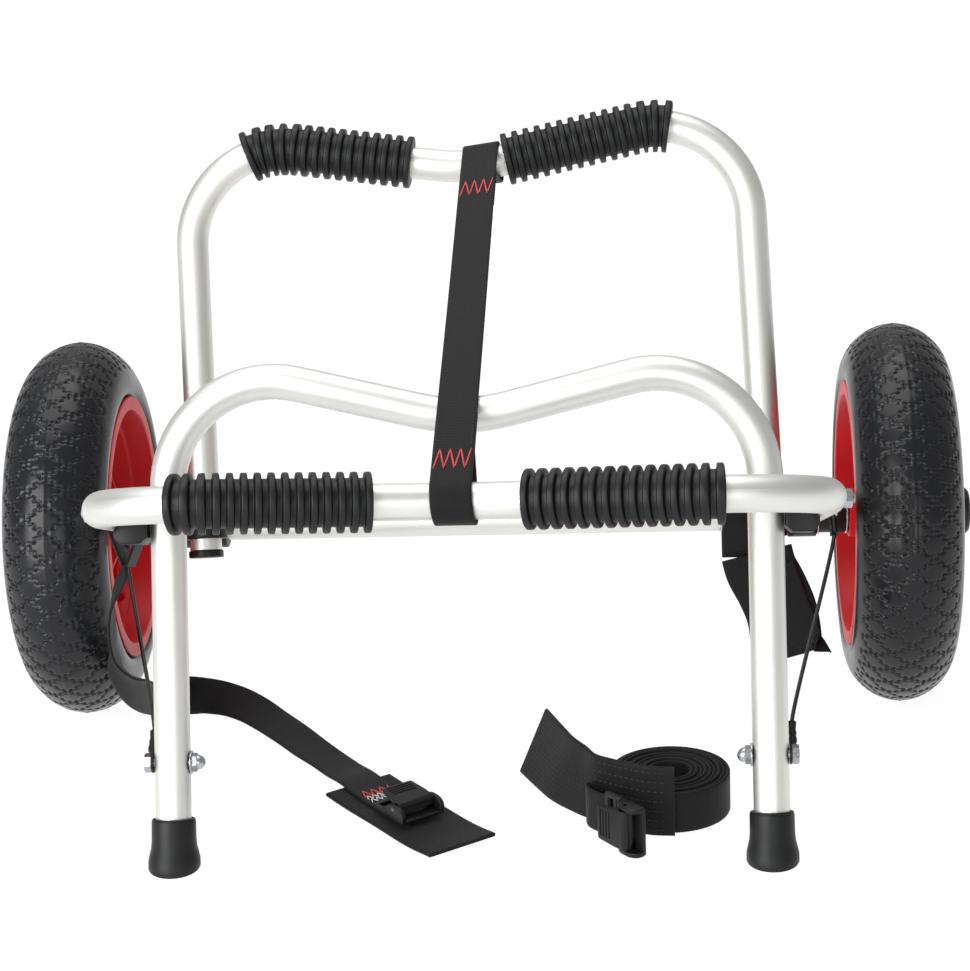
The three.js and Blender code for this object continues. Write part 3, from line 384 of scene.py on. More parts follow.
class Skin:
    """Grids of points gathered into one mesh, with their real lengths as its UV map."""

    def __init__(self):
        self.points, self.faces, self.uvs, self.count = [], [], [], 0

    def grid(self, points, closed_rows=False, closed_columns=True, rows=None, columns=None):
        """Faces between neighbours of points[i, j]; a closed side joins its last to its first."""
        n, m = points.shape[:2]
        if rows is None:
            line = points[:, 0]
            rows = lengths(np.concatenate([line, line[:1]]) if closed_rows else line)
        if columns is None:
            widest = np.ptp(points.reshape(n, m, 3), axis=1).sum(-1).argmax()
            line = points[widest]
            columns = lengths(np.concatenate([line, line[:1]]) if closed_columns else line)
        i, j = np.meshgrid(
            np.arange(n - (not closed_rows)), np.arange(m - (not closed_columns)), indexing="ij"
        )
        i, j = i.ravel(), j.ravel()
        corner_i = np.stack([i, i, i + 1, i + 1], 1)
        corner_j = np.stack([j, j + 1, j + 1, j], 1)
        self.faces.extend(((corner_i % n) * m + corner_j % m + self.count).tolist())
        self.uvs.append(np.stack([columns[corner_j], rows[corner_i]], -1).reshape(-1, 2))
        self.points.append(points.reshape(-1, 3))
        self.count += n * m
        return self

    def capped(self, points):
        """A grid of closed rings whose first and last rings are closed by a fan to their middle."""
        first = np.broadcast_to(points[0].mean(0), points[0].shape)[None]
        last = np.broadcast_to(points[-1].mean(0), points[-1].shape)[None]
        return self.grid(np.concatenate([first, points, last]))

    def pipe(self, path, across, radius, wall, sides, ease=0.0004):
        """A tube: its outside along the path and its inside back, joined round both eased ends."""
        outside = carried(path, across, ring(radius, sides))
        inside = carried(path, across, ring(radius - wall, sides))
        along = headings(path)

        def end(i, sign, share):
            lip = carried(path, across, ring(radius - wall * share, sides))[i]
            return lip[None] + sign * ease * (1 - abs(2 * share - 1)) * along[i]

        rims = [end(-1, 1, 0.3), end(-1, 1, 0.7)]
        rims_back = [end(0, -1, 0.7), end(0, -1, 0.3)]
        return self.grid(
            np.concatenate([outside, *rims, inside[::-1], *rims_back]), closed_rows=True
        )

    def turned(self, profile, steps, origin, axis, closed=False):
        """A turned profile; a closed one joins its end to its start."""
        return self.grid(turned(profile, steps, origin, axis), closed_rows=closed)

    def prism(self, outline, depth, matrix, edge=0.0006):
        """An outline of (x, y) points with a depth along z, all its edges rounded by `edge`.

        The rings follow the outline, drawn in by edge*(1 - sin t) while z rises by edge*(1 - cos t).
        """
        outline = np.asarray(outline, float)
        tangent = headings(np.pad(outline, ((0, 0), (0, 1))), closed=True)[:, :2]
        inward = np.stack([-tangent[:, 1], tangent[:, 0]], -1)
        x, y = outline.T
        if (x * np.roll(y, -1) - y * np.roll(x, -1)).sum() < 0:
            inward = -inward
        turn = np.linspace(0, math.pi / 2, 4)
        pull = np.concatenate([edge * (1 - np.sin(turn)), edge * (1 - np.sin(turn[::-1]))])
        low = edge * (1 - np.cos(turn))
        height = np.concatenate([low, depth - low[::-1]])
        rings = outline[None] + pull[:, None, None] * inward[None]
        height = np.broadcast_to(height[:, None, None], rings.shape[:2] + (1,))
        points = on_plane(np.concatenate([rings, height], -1), matrix)
        base = self.count
        self.grid(points)
        last = base + (len(points) - 1) * len(outline)
        for start in (base, last):
            self.faces.append(list(range(start, start + len(outline))))
            self.uvs.append(outline)
        return self

    def thread(self, path, radius, sides=6):
        """A thread laid along a path, with rounded ends."""
        spare = np.array([0.31, 0.52, 0.79])
        share = np.minimum(1, np.minimum(np.arange(len(path)), np.arange(len(path))[::-1]) * 0.5 + 0.45)
        profile = ring(radius, sides)[None] * share[:, None, None]
        return self.capped(carried(path, spare, profile))


def show(name, skin, finish, body=None, node=None, sharp=35):
    """Makes a skin an object: doubles merged, faces turned out, smooth but for sharp edges."""
    mesh = bpy.data.meshes.new(name)
    mesh.from_pydata(np.concatenate(skin.points).tolist(), [], skin.faces)
    layer = mesh.uv_layers.new(name="Lengths")
    layer.data.foreach_set("uv", np.concatenate(skin.uvs).astype(np.float32).ravel())
    work = bmesh.new()
    work.from_mesh(mesh)
    bmesh.ops.remove_doubles(work, verts=work.verts, dist=1e-7)
    bmesh.ops.recalc_face_normals(work, faces=work.faces)
    work.to_mesh(mesh)
    work.free()
    mesh.shade_smooth()
    mesh.set_sharp_from_angle(angle=math.radians(sharp))
    mesh.materials.append(finishes[finish])
    made = bpy.data.objects.new(name, mesh)
    bpy.context.scene.collection.objects.link(made)
    if node:
        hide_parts(node)
    if body:
        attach(made, body)
    return made


# Finishes


def put(tree, kind, links=None, **settings):
    """Adds a node, sets its fields, and sets or links its sockets."""
    made = tree.nodes.new("ShaderNode" + kind)
    for key, value in settings.items():
        setattr(made, key, value)
    for socket, source in (links or {}).items():
        if isinstance(source, bpy.types.NodeSocket):
            tree.links.new(source, made.inputs[socket])
        else:
            made.inputs[socket].default_value = source
    return made


def blank(name):
    """A new material with an empty node tree."""
    material = bpy.data.materials.new(name)
    material.use_nodes = True
    material.node_tree.nodes.clear()
    return material, material.node_tree


def rgba(value, gain=1.0):
    """A linear colour with an alpha of one, made lighter or darker by a gain."""
    return tuple(min(1.0, part * gain) for part in value) + (1.0,)


def satin_drawn_aluminium(value):
    """6061 tube, drawn and clear anodised: fine lines run along it and blur its highlight."""
    material, tree = blank("Satin drawn aluminium")
    uv = put(tree, "TexCoord").outputs["UV"]
    # Drawing lines 0.5 mm apart round the tube and 60 mm long, coarse enough to show.
    long = put(tree, "Mapping", {"Vector": uv, "Scale": (1.0, 0.008, 1.0)}).outputs[0]
    lines = put(tree, "TexNoise", {"Vector": long, "Scale": 2000.0, "Detail": 3.0}).outputs["Fac"]
    place = put(tree, "TexCoord").outputs["Object"]
    cloud = put(tree, "TexNoise", {"Vector": place, "Scale": 26.0, "Detail": 4.0}).outputs["Fac"]
    rough = put(
        tree, "MapRange", {"Value": lines, "From Min": 0.3, "From Max": 0.7, "To Min": 0.42, "To Max": 0.54}
    ).outputs[0]
    mixed = put(tree, "Mix", {"Factor": cloud}, data_type="RGBA")
    set_colours(mixed, rgba(value, 0.95), rgba(value, 1.05))
    bump = put(tree, "Bump", {"Height": lines, "Strength": 0.12, "Distance": 0.00004}).outputs[0]
    shader = put(
        tree,
        "BsdfPrincipled",
        {"Base Color": mixed.outputs[2], "Metallic": 1.0, "Roughness": rough, "Normal": bump},
    )
    put(tree, "OutputMaterial", {"Surface": shader.outputs[0]})
    return material


def set_colours(mix, low, high):
    """Sets the colour sockets of a mix node, which share their names with its number sockets."""
    mix.inputs[6].default_value = low
    mix.inputs[7].default_value = high


def bright_zinc_steel(value):
    """Zinc-plated steel: bright, with a faint cloud where the plate has dulled."""
    material, tree = blank("Bright zinc-plated steel")
    place = put(tree, "TexCoord").outputs["Object"]
    cloud = put(tree, "TexNoise", {"Vector": place, "Scale": 700.0, "Detail": 3.0}).outputs["Fac"]
    rough = put(
        tree, "MapRange", {"Value": cloud, "From Min": 0.3, "From Max": 0.7, "To Min": 0.2, "To Max": 0.36}
    ).outputs[0]
    mixed = put(tree, "Mix", {"Factor": cloud}, data_type="RGBA")
    set_colours(mixed, rgba(value, 0.85), rgba(value, 1.1))
    shader = put(
        tree, "BsdfPrincipled", {"Base Color": mixed.outputs[2], "Metallic": 1.0, "Roughness": rough}
    )
    put(tree, "OutputMaterial", {"Surface": shader.outputs[0]})
    return material


def moulded(name, value, rough, grain, depth, spread=0.12, specular=0.5):
    """A moulded polymer: an even colour with a fine spark-eroded grain that breaks its highlight.

    `grain` is the grain's width and `depth` its height, both in metres.
    """
    material, tree = blank(name)
    place = put(tree, "TexCoord").outputs["Object"]
    fine = put(tree, "TexNoise", {"Vector": place, "Scale": 1 / grain, "Detail": 3.0}).outputs["Fac"]
    wide = put(tree, "TexNoise", {"Vector": place, "Scale": 34.0, "Detail": 3.0}).outputs["Fac"]
    mixed = put(tree, "Mix", {"Factor": wide}, data_type="RGBA")
    set_colours(mixed, rgba(value, 0.88), rgba(value, 1.14))
    roughness = put(
        tree,
        "MapRange",
        {
            "Value": wide,
            "From Min": 0.3,
            "From Max": 0.7,
            "To Min": rough - spread / 2,
            "To Max": rough + spread / 2,
        },
    ).outputs[0]
    bump = put(tree, "Bump", {"Height": fine, "Strength": 0.35, "Distance": depth}).outputs[0]
    shader = put(
        tree,
        "BsdfPrincipled",
        {
            "Base Color": mixed.outputs[2],
            "Roughness": roughness,
            "Specular IOR Level": specular,
            "Normal": bump,
        },
    )
    put(tree, "OutputMaterial", {"Surface": shader.outputs[0]})
    return material


def woven_webbing(name, value, rib, thread):
    """Polyester webbing: weft ribs across it, crossed by warp columns, with a soft sheen.

    `rib` is from one weft rib to the next, and `thread` from one warp column to the next. The height
    is sin(along / rib + lean) * (0.6 + 0.4 * sin(across / thread)), where the lean makes a twill.
    """
    material, tree = blank(name)
    uv = put(tree, "TexCoord").outputs["UV"]
    parts = put(tree, "SeparateXYZ", {0: uv})
    across = put(tree, "Math", {0: parts.outputs[0], 1: FULL_TURN / thread}, operation="MULTIPLY")
    along = put(tree, "Math", {0: parts.outputs[1], 1: FULL_TURN / rib}, operation="MULTIPLY")
    column = put(tree, "Math", {0: across.outputs[0]}, operation="SINE").outputs[0]
    lean = put(tree, "Math", {0: column, 1: 0.9}, operation="MULTIPLY").outputs[0]
    leaned = put(tree, "Math", {0: along.outputs[0], 1: lean}, operation="ADD").outputs[0]
    weft = put(tree, "Math", {0: leaned}, operation="SINE").outputs[0]
    warp = put(tree, "Math", {0: column, 1: 0.4, 2: 0.6}, operation="MULTIPLY_ADD").outputs[0]
    height = put(tree, "Math", {0: weft, 1: warp}, operation="MULTIPLY").outputs[0]
    place = put(tree, "TexCoord").outputs["Object"]
    fuzz = put(tree, "TexNoise", {"Vector": place, "Scale": 900.0, "Detail": 2.0}).outputs["Fac"]
    share = put(
        tree, "MapRange", {"Value": height, "From Min": -1.0, "From Max": 1.0, "To Min": 0.0, "To Max": 1.0}
    ).outputs[0]
    # The colour runs from dark in the weave's hollows to light on its raised threads: painted shade and
    # painted highlight from the weave's height, broken by a random fuzz of the fibres.
    painted_weave_light_and_fuzz = put(tree, "Math", {0: share, 1: fuzz}, operation="MULTIPLY").outputs[0]
    mixed = put(tree, "Mix", {"Factor": painted_weave_light_and_fuzz}, data_type="RGBA")
    set_colours(mixed, rgba(value, 0.7), rgba(value, 2.1))
    bump = put(tree, "Bump", {"Height": share, "Strength": 0.7, "Distance": 0.0003}).outputs[0]
    shader = put(
        tree,
        "BsdfPrincipled",
        {
            "Base Color": mixed.outputs[2],
            "Roughness": 0.6,
            "Specular IOR Level": 0.2,
            "Sheen Weight": 0.05,
            "Sheen Roughness": 0.4,
            "Normal": bump,
        },
    )
    put(tree, "OutputMaterial", {"Surface": shader.outputs[0]})
    return material


def sewing_thread(name, value):
    """Bonded polyester thread: two plies twisted every 1.2 mm, drawn as slanting bands of painted shade and
    painted highlight in its colour.
    """
    material, tree = blank(name)
    uv = put(tree, "TexCoord").outputs["UV"]
    parts = put(tree, "SeparateXYZ", {0: uv})
    turn = put(tree, "Math", {0: parts.outputs[1], 1: FULL_TURN / 0.0012}, operation="MULTIPLY").outputs[0]
    painted_ply_shade = put(tree, "Math", {0: turn}, operation="SINE").outputs[0]
    share = put(
        tree, "MapRange", {"Value": painted_ply_shade, "From Min": -1.0, "From Max": 1.0, "To Min": 0.0, "To Max": 1.0}
    ).outputs[0]
    # Darker where the plies meet and lighter on their crowns: painted shade and painted highlight.
    mixed = put(tree, "Mix", {"Factor": share}, data_type="RGBA")
    set_colours(mixed, rgba(value, 0.75), rgba(value, 1.1))
    shader = put(
        tree, "BsdfPrincipled", {"Base Color": mixed.outputs[2], "Roughness": 0.6, "Sheen Weight": 0.1}
    )
    put(tree, "OutputMaterial", {"Surface": shader.outputs[0]})
    return material


def make_finishes(colours):
    """All finishes of the cart, from its colours."""
    finishes["aluminium"] = satin_drawn_aluminium(colours.aluminium)
    finishes["steel"] = bright_zinc_steel(colours.steel)
    # Thermoplastic rubber, matt from the mould's fine blast.
    finishes["grip"] = moulded("Ribbed grip rubber", colours.grip, 0.46, 0.0006, 0.00005, 0.12, 0.32)
    # Glass-filled nylon, a little glossier than the rubber, with a fine grain.
    finishes["plastic"] = moulded("Moulded black nylon", colours.plastic, 0.4, 0.0005, 0.00003, 0.12, 0.3)
    # Microcellular polyurethane: a smooth skin that glints on the tread's edges.
    finishes["tyre"] = moulded("Polyurethane tyre skin", colours.tyre, 0.28, 0.0011, 0.00006, 0.12, 0.34)
    # Polypropylene: glossy, with the slight waviness of a moulding that shrank.
    finishes["rim"] = moulded("Red polypropylene", colours.rim, 0.42, 0.0016, 0.00003, 0.08, 0.22)
    finishes["webbing"] = woven_webbing("Black polyester webbing", colours.webbing, 0.0015, 0.0019)
    finishes["pad"] = woven_webbing("Wide ribbed webbing", colours.webbing, 0.0021, 0.0030)
    finishes["wire"] = moulded("Black vinyl jacket", colours.wire, 0.4, 0.0007, 0.00002)
    finishes["red thread"] = sewing_thread("Red polyester thread", colours.red_thread)
    finishes["pale thread"] = sewing_thread("Pale polyester thread", colours.pale_thread)
    finishes["black thread"] = sewing_thread("Black polyester thread", colours.plastic)


# Stage


class CART_OT_stage(bpy.types.Operator):
    """Makes the camera, the lamps, the pale floor and the world"""

    bl_idname = "cart.stage"
    bl_label = "Stage"

    azimuth: FloatProperty(
        name="Azimuth",
        description="Turn of the camera round the cart, from straight ahead",
        default=math.radians(3.61),
        subtype="ANGLE",
    )
    elevation: FloatProperty(
        name="Elevation",
        description="How far down the camera looks",
        default=math.radians(17.17),
        subtype="ANGLE",
    )
    roll: FloatProperty(
        name="Roll",
        description="Turn of the camera about its own view",
        default=math.radians(-2.22),
        subtype="ANGLE",
    )

    def execute(self, context):
        scene = context.scene
        scene.view_settings.view_transform = "Standard"
        a, e, r = self.azimuth, self.elevation, self.roll
        ahead = np.array([-math.sin(a) * math.cos(e), math.cos(a) * math.cos(e), -math.sin(e)])
        right = unit(np.cross(ahead, Z_WAY))
        up = np.cross(right, ahead)
        across = math.cos(r) * right + math.sin(r) * up
        above = -math.sin(r) * right + math.cos(r) * up
        data = bpy.data.cameras.new("Camera")
        data.sensor_fit = "HORIZONTAL"
        data.sensor_width = 36.0
        data.lens = CAMERA_LENS
        camera = bpy.data.objects.new("Camera", data)
        scene.collection.objects.link(camera)
        made = np.eye(4)
        made[:3, 0], made[:3, 1], made[:3, 2] = across, above, -ahead
        made[:3, 3] = CAMERA_PLACE
        camera.matrix_world = Matrix(made.tolist())
        scene.camera = camera
        self.lamps(scene)
        self.floor()
        self.world(scene)
        return {"FINISHED"}

    def lamps(self, scene):
        """Three soft boxes: a tall one at the front left, a dim one at the right, one above."""
        boxes = [
            ("Key", (-1.7, -2.1, 1.0), 1.9, 2.2, 84.0),
            ("Fill", (0.7, -3.0, 0.8), 1.2, 1.2, 12.0),
            ("Top", (-0.3, 0.4, 2.4), 2.4, 2.0, 34.0),
        ]
        for name, place, width, height, power in boxes:
            data = bpy.data.lights.new(name, "AREA")
            data.shape = "RECTANGLE"
            data.size, data.size_y, data.energy = width, height, power
            lamp = bpy.data.objects.new(name, data)
            lamp.location = place
            aim = Vector((0, 0, 0.2)) - Vector(place)
            lamp.rotation_euler = aim.to_track_quat("-Z", "Y").to_euler()
            lamp.visible_camera = False
            scene.collection.objects.link(lamp)

    def floor(self):
        """A wide disc that shows white to the camera and in reflections but keeps a soft shadow."""
        material, tree = blank("Pale studio floor")
        ray = put(tree, "LightPath").outputs
        seen, glossy, sent = ray["Is Camera Ray"], ray["Is Glossy Ray"], ray["Is Transmission Ray"]
        seen = put(tree, "Math", {0: seen, 1: glossy}, operation="ADD").outputs[0]
        seen = put(tree, "Math", {0: seen, 1: sent}, operation="ADD", use_clamp=True).outputs[0]
        share = put(tree, "Math", {0: seen, 1: 0.86}, operation="MULTIPLY").outputs[0]
        matt = put(tree, "BsdfDiffuse", {"Color": (0.9, 0.9, 0.9, 1)}).outputs[0]
        glow = put(tree, "Emission", {"Color": (1, 1, 1, 1), "Strength": 1.1}).outputs[0]
        mixed = put(tree, "MixShader", {0: share, 1: matt, 2: glow}).outputs[0]
        put(tree, "OutputMaterial", {"Surface": mixed})
        radii = np.array([0.0, 0.4, 1.2, 4.0, 12.0, 40.0])
        profile = np.stack([radii, 0 * radii], -1)
        skin = Skin().turned(profile, 64, np.array([0.0, 0.0, -0.0004]), Z_WAY)
        finishes["floor"] = material
        show("studio_floor", skin, "floor")

    def world(self, scene):
        """An even pale grey all round, dimmer than the floor, so that tubes have darker flanks."""
        world = bpy.data.worlds.new("Pale room")
        world.use_nodes = True
        tree = world.node_tree
        tree.nodes.clear()
        glow = put(tree, "Background", {"Color": (1, 1, 1, 1), "Strength": 0.45})
        put(tree, "OutputWorld", {"Surface": glow.outputs[0]})
        scene.world = world


# Bars and grips


def bar_lines(sizes):
    """The middle lines of the rear, front and stand bars, each in its own plane."""
    rear, _ = bar_line(*REAR_SHAPE, -REAR_TAILS["right"], sizes)
    front, _ = bar_line(*FRONT_SHAPE, 0.0166, sizes)
    stand, _ = bar_line(*STAND_SHAPE, 0.009, sizes)
    return rear, front, stand


class CART_OT_bars(bpy.types.Operator):
    """Makes the three bent bars and the axle tube"""

    bl_idname = "cart.bars"
    bl_label = "Bars"

    def execute(self, context):
        sizes = context.scene.cart_bars
        rear, front, stand = bar_lines(sizes)
        rear[0, 1] = -REAR_TAILS["left"]
        for name, line, plane, body in (
            ("rear_frame", rear, REAR, "axle_frame"),
            ("front_frame", front, FRONT, "front_frame"),
            ("stand_frame", stand, STAND, "stand"),
        ):
            skin = Skin().pipe(
                on_plane(line, plane), ways(plane)[2], sizes.tube_radius, sizes.tube_wall, sizes.tube_sides
            )
            show(name + "_tube", skin, "aluminium", body, name)
        reach = 0.3218
        path = AXLE + np.linspace(-reach, reach, 9)[:, None] * X_WAY
        skin = Skin().pipe(path, Z_WAY, sizes.tube_radius, sizes.tube_wall, sizes.tube_sides)
        show("axle_tube_satin", skin, "aluminium", "axle_frame", "axle_tube")
        return {"FINISHED"}


def grip_profile(sizes):
    """A grip's outside as (place, radius): ribs with straight flanks and rounded corners."""
    last = sizes.ribs - 1
    start = np.arange(sizes.ribs) * (sizes.length - sizes.rib_width) / last
    flank = 0.00035
    offsets = np.array([0.0, flank, sizes.rib_width - flank, sizes.rib_width])
    radii = np.array([sizes.groove_radius, sizes.rib_radius, sizes.rib_radius, sizes.groove_radius])
    places = (start[:, None] + offsets[None]).ravel()
    corners = np.stack([places, np.tile(radii, sizes.ribs)], -1)
    ease = np.tile([0.0007, 0.0011, 0.0011, 0.0007], sizes.ribs)
    return eased(corners, ease, 5, closed=False)


class CART_OT_grips(bpy.types.Operator):
    """Makes the four ribbed grips on the rear and front bars"""

    bl_idname = "cart.grips"
    bl_label = "Grips"

    def execute(self, context):
        sizes = context.scene.cart_grips
        bars = context.scene.cart_bars
        rear, front, _ = bar_lines(bars)
        for name, line, plane, body, inset, side in (
            ("right_rear_grip", rear, REAR, "axle_frame", 0.0270, 1),
            ("left_rear_grip", rear, REAR, "axle_frame", 0.0380, -1),
            ("right_front_grip", front, FRONT, "front_frame", 0.0408, 1),
            ("left_front_grip", front, FRONT, "front_frame", 0.0504, -1),
        ):
            self.grip(name, line, plane, body, inset, side, sizes, bars.tube_radius)
        return {"FINISHED"}

    def grip(self, name, line, plane, body, inset, side, sizes, tube_radius):
        """One grip: radius(s) round the bar's middle line from its inset outwards, then its bore."""
        profile = grip_profile(sizes)
        along = lengths(line)
        start = along[-1] / 2 + inset
        bore = np.linspace(sizes.length, 0, 24)
        rows = np.concatenate([profile[:, 0], bore])
        radii = np.concatenate([profile[:, 1], np.full(len(bore), tube_radius + 0.0002)])
        path = np.stack([np.interp(start + rows, along, column) for column in line.T], -1)
        near = 0.0005
        ahead = np.stack([np.interp(start + rows + near, along, column) for column in line.T], -1)
        behind = np.stack([np.interp(start + rows - near, along, column) for column in line.T], -1)
        way = unit(ahead - behind)
        out = np.stack([-way[:, 1], way[:, 0], 0 * way[:, 0]], -1)
        t = (np.arange(48) / 48 * FULL_TURN)[None, :, None]
        points = path[:, None] + radii[:, None, None] * (np.cos(t) * out[:, None] + np.sin(t) * Z_WAY)
        points[..., 0] *= side
        skin = Skin().grid(on_plane(points, plane), closed_rows=True)
        show(name + "_ribbed", skin, "grip", body, name, 50)


# Wheels


class CART_OT_wheels(bpy.types.Operator):
    """Makes the treaded tyres, the red rims and their bushes"""

    bl_idname = "cart.wheels"
    bl_label = "Wheels"

    def execute(self, context):
        sizes = context.scene.cart_wheels
        for side, name in ((1, "right"), (-1, "left")):
            middle = AXLE + side * sizes.track / 2 * X_WAY
            body = name + "_wheel"
            skin = Skin().grid(self.tyre(sizes, middle, side), closed_rows=True)
            show(name + "_tyre_treaded", skin, "tyre", body, name + "_tyre", 60)
            skin = self.rim(middle, side)
            show(name + "_rim_ribbed", skin, "rim", body, name + "_rim")
            bore, outside = 0.01145, 0.0137
            corners = oblong(bore, outside, HUB_INNER, HUB_OUTER)
            skin = Skin().turned(eased(corners, 0.0004, 4), 40, middle, side * X_WAY, closed=True)
            show(name + "_bush", skin, "plastic", body, name + "_wheel_bush")
        return {"FINISHED"}

    def tyre(self, sizes, middle, side):
        """A round section turned about the axle, less a zigzag lattice of grooves.

        With a and b the two slanting counts round * blocks / turn +- across / period, each groove
        follows a whole number of a + jog * sign(sin 6 pi b), or of b with a in its place.
        """
        lip, bead, seat = 0.0918, 0.0316, 0.0862
        shares = np.array(
            [[0.93, 0.02], [0.985, 0.09], [1, 0.2], [0.975, 0.34], [0.92, 0.47], [0.835, 0.6]]
            + [[0.72, 0.72], [0.575, 0.83], [0.4, 0.92], [0.2, 0.98], [0, 1]]
        )
        half = np.stack([lip + shares[:, 1] * (sizes.radius - lip), shares[:, 0] * sizes.width / 2], -1)
        whole = np.concatenate([half * [1, -1], half[-2::-1]])
        period, per_block = 0.0260, 20
        step = period / per_block
        fine = through(np.pad(whole, ((0, 0), (0, 1))), 400)[:, :2]
        along = lengths(fine)
        reach = along[-1] / 2
        tread = np.arange(-32, 33) * step
        wall = np.linspace(tread[-1], reach, 11)[1:]
        across = np.concatenate([-wall[::-1], tread, wall])
        section = np.stack([np.interp(across + reach, along, column) for column in fine.T], -1)
        way = headings(np.pad(section, ((0, 0), (0, 1))))[:, :2]
        outward = np.stack([way[:, 1], -way[:, 0]], -1)
        turns = sizes.blocks * per_block
        count = np.arange(turns)[None] / per_block
        a = count + across[:, None] / period
        b = count - across[:, None] / period
        jog = 1.2 / per_block
        shift = 0.5 / per_block
        a_line = a + jog * np.sign(np.sin(3 * FULL_TURN * (b + shift / 2)))
        b_line = b + jog * np.sign(np.sin(3 * FULL_TURN * (a + shift / 2)))
        from_line = np.minimum(abs(a_line - np.round(a_line)), abs(b_line - np.round(b_line)))
        groove = np.clip(1.0 - from_line * per_block, 0, 1) ** 0.7
        fade = np.clip((0.0405 - abs(across)) / 0.006, 0, 1)[:, None]
        seam = 0.00035 * (abs(across) < step / 2)[:, None]
        drop = sizes.groove * groove * fade - seam
        radius = section[:, 0:1] - drop * abs(outward[:, 0:1])
        place = section[:, 1:2] - drop * outward[:, 1:2] * np.sign(outward[:, 0:1])
        ends = np.array([[lip, bead], [seat, bead], [seat, -bead], [lip, -bead]])
        radius = np.concatenate([radius, np.repeat(ends[:, 0:1], turns, 1)])
        place = np.concatenate([place, np.repeat(ends[:, 1:2], turns, 1)])
        t = (np.arange(turns) / turns * FULL_TURN)[None]
        return middle + np.stack(
            [side * place, radius * np.cos(t), radius * np.sin(t)], -1
        )

    def rim(self, middle, side):
        """A turned rim with a stepped dish, and six ribs on each side from hub to barrel."""
        lip, seat, mouth, dish, web = 0.0343, 0.086, 0.082, 0.073, 0.003
        flange, wall = 0.0915, 0.0024
        corners = [
            (0.014, HUB_INNER),
            (0.0165, HUB_INNER),
            (0.0175, -web),
            (dish, -web),
            (dish + 0.004, -0.018),
            (dish + 0.0058, -0.0184),
            (mouth, -lip),
            (flange, -lip),
            (flange, wall - lip),
            (seat, wall - lip),
            (seat, lip - wall),
            (flange, lip - wall),
            (flange, lip),
            (mouth, lip),
            (dish + 0.0058, 0.0184),
            (dish + 0.004, 0.018),
            (dish, web),
            (0.0175, web),
            (0.0165, HUB_OUTER),
            (0.014, HUB_OUTER),
        ]
        skin = Skin().turned(eased(corners, 0.0013, 5), 96, middle, side * X_WAY, closed=True)
        room = lip - web
        hub, barrel = 0.0152, 0.0795
        sweep = np.linspace(0, 1, 9)
        reach = web + room * (0.4 + 0.32 * (1 - sweep) ** 2 - 0.12 * np.sin(sweep * math.pi))
        crest = np.stack([hub + (barrel - hub) * sweep, reach], -1)
        ribs, thickness = 6, 0.004
        for face in (-1, 1):
            outline = np.concatenate([[[hub, 0.0]], crest, [[barrel, 0.0]]]) * [1, face]
            for rib in range(ribs):
                turn = rib / ribs * FULL_TURN
                made = Matrix.Translation(middle) @ Matrix.Rotation(turn, 4, "X")
                made = np.array(made @ Matrix.Rotation(math.pi / 2, 4, "Z"))
                made = made @ np.array(Matrix.Translation((0, 0, -thickness / 2)))
                skin.prism(outline * [1, -side], thickness, made, 0.0007)
        return skin


# Axle fittings


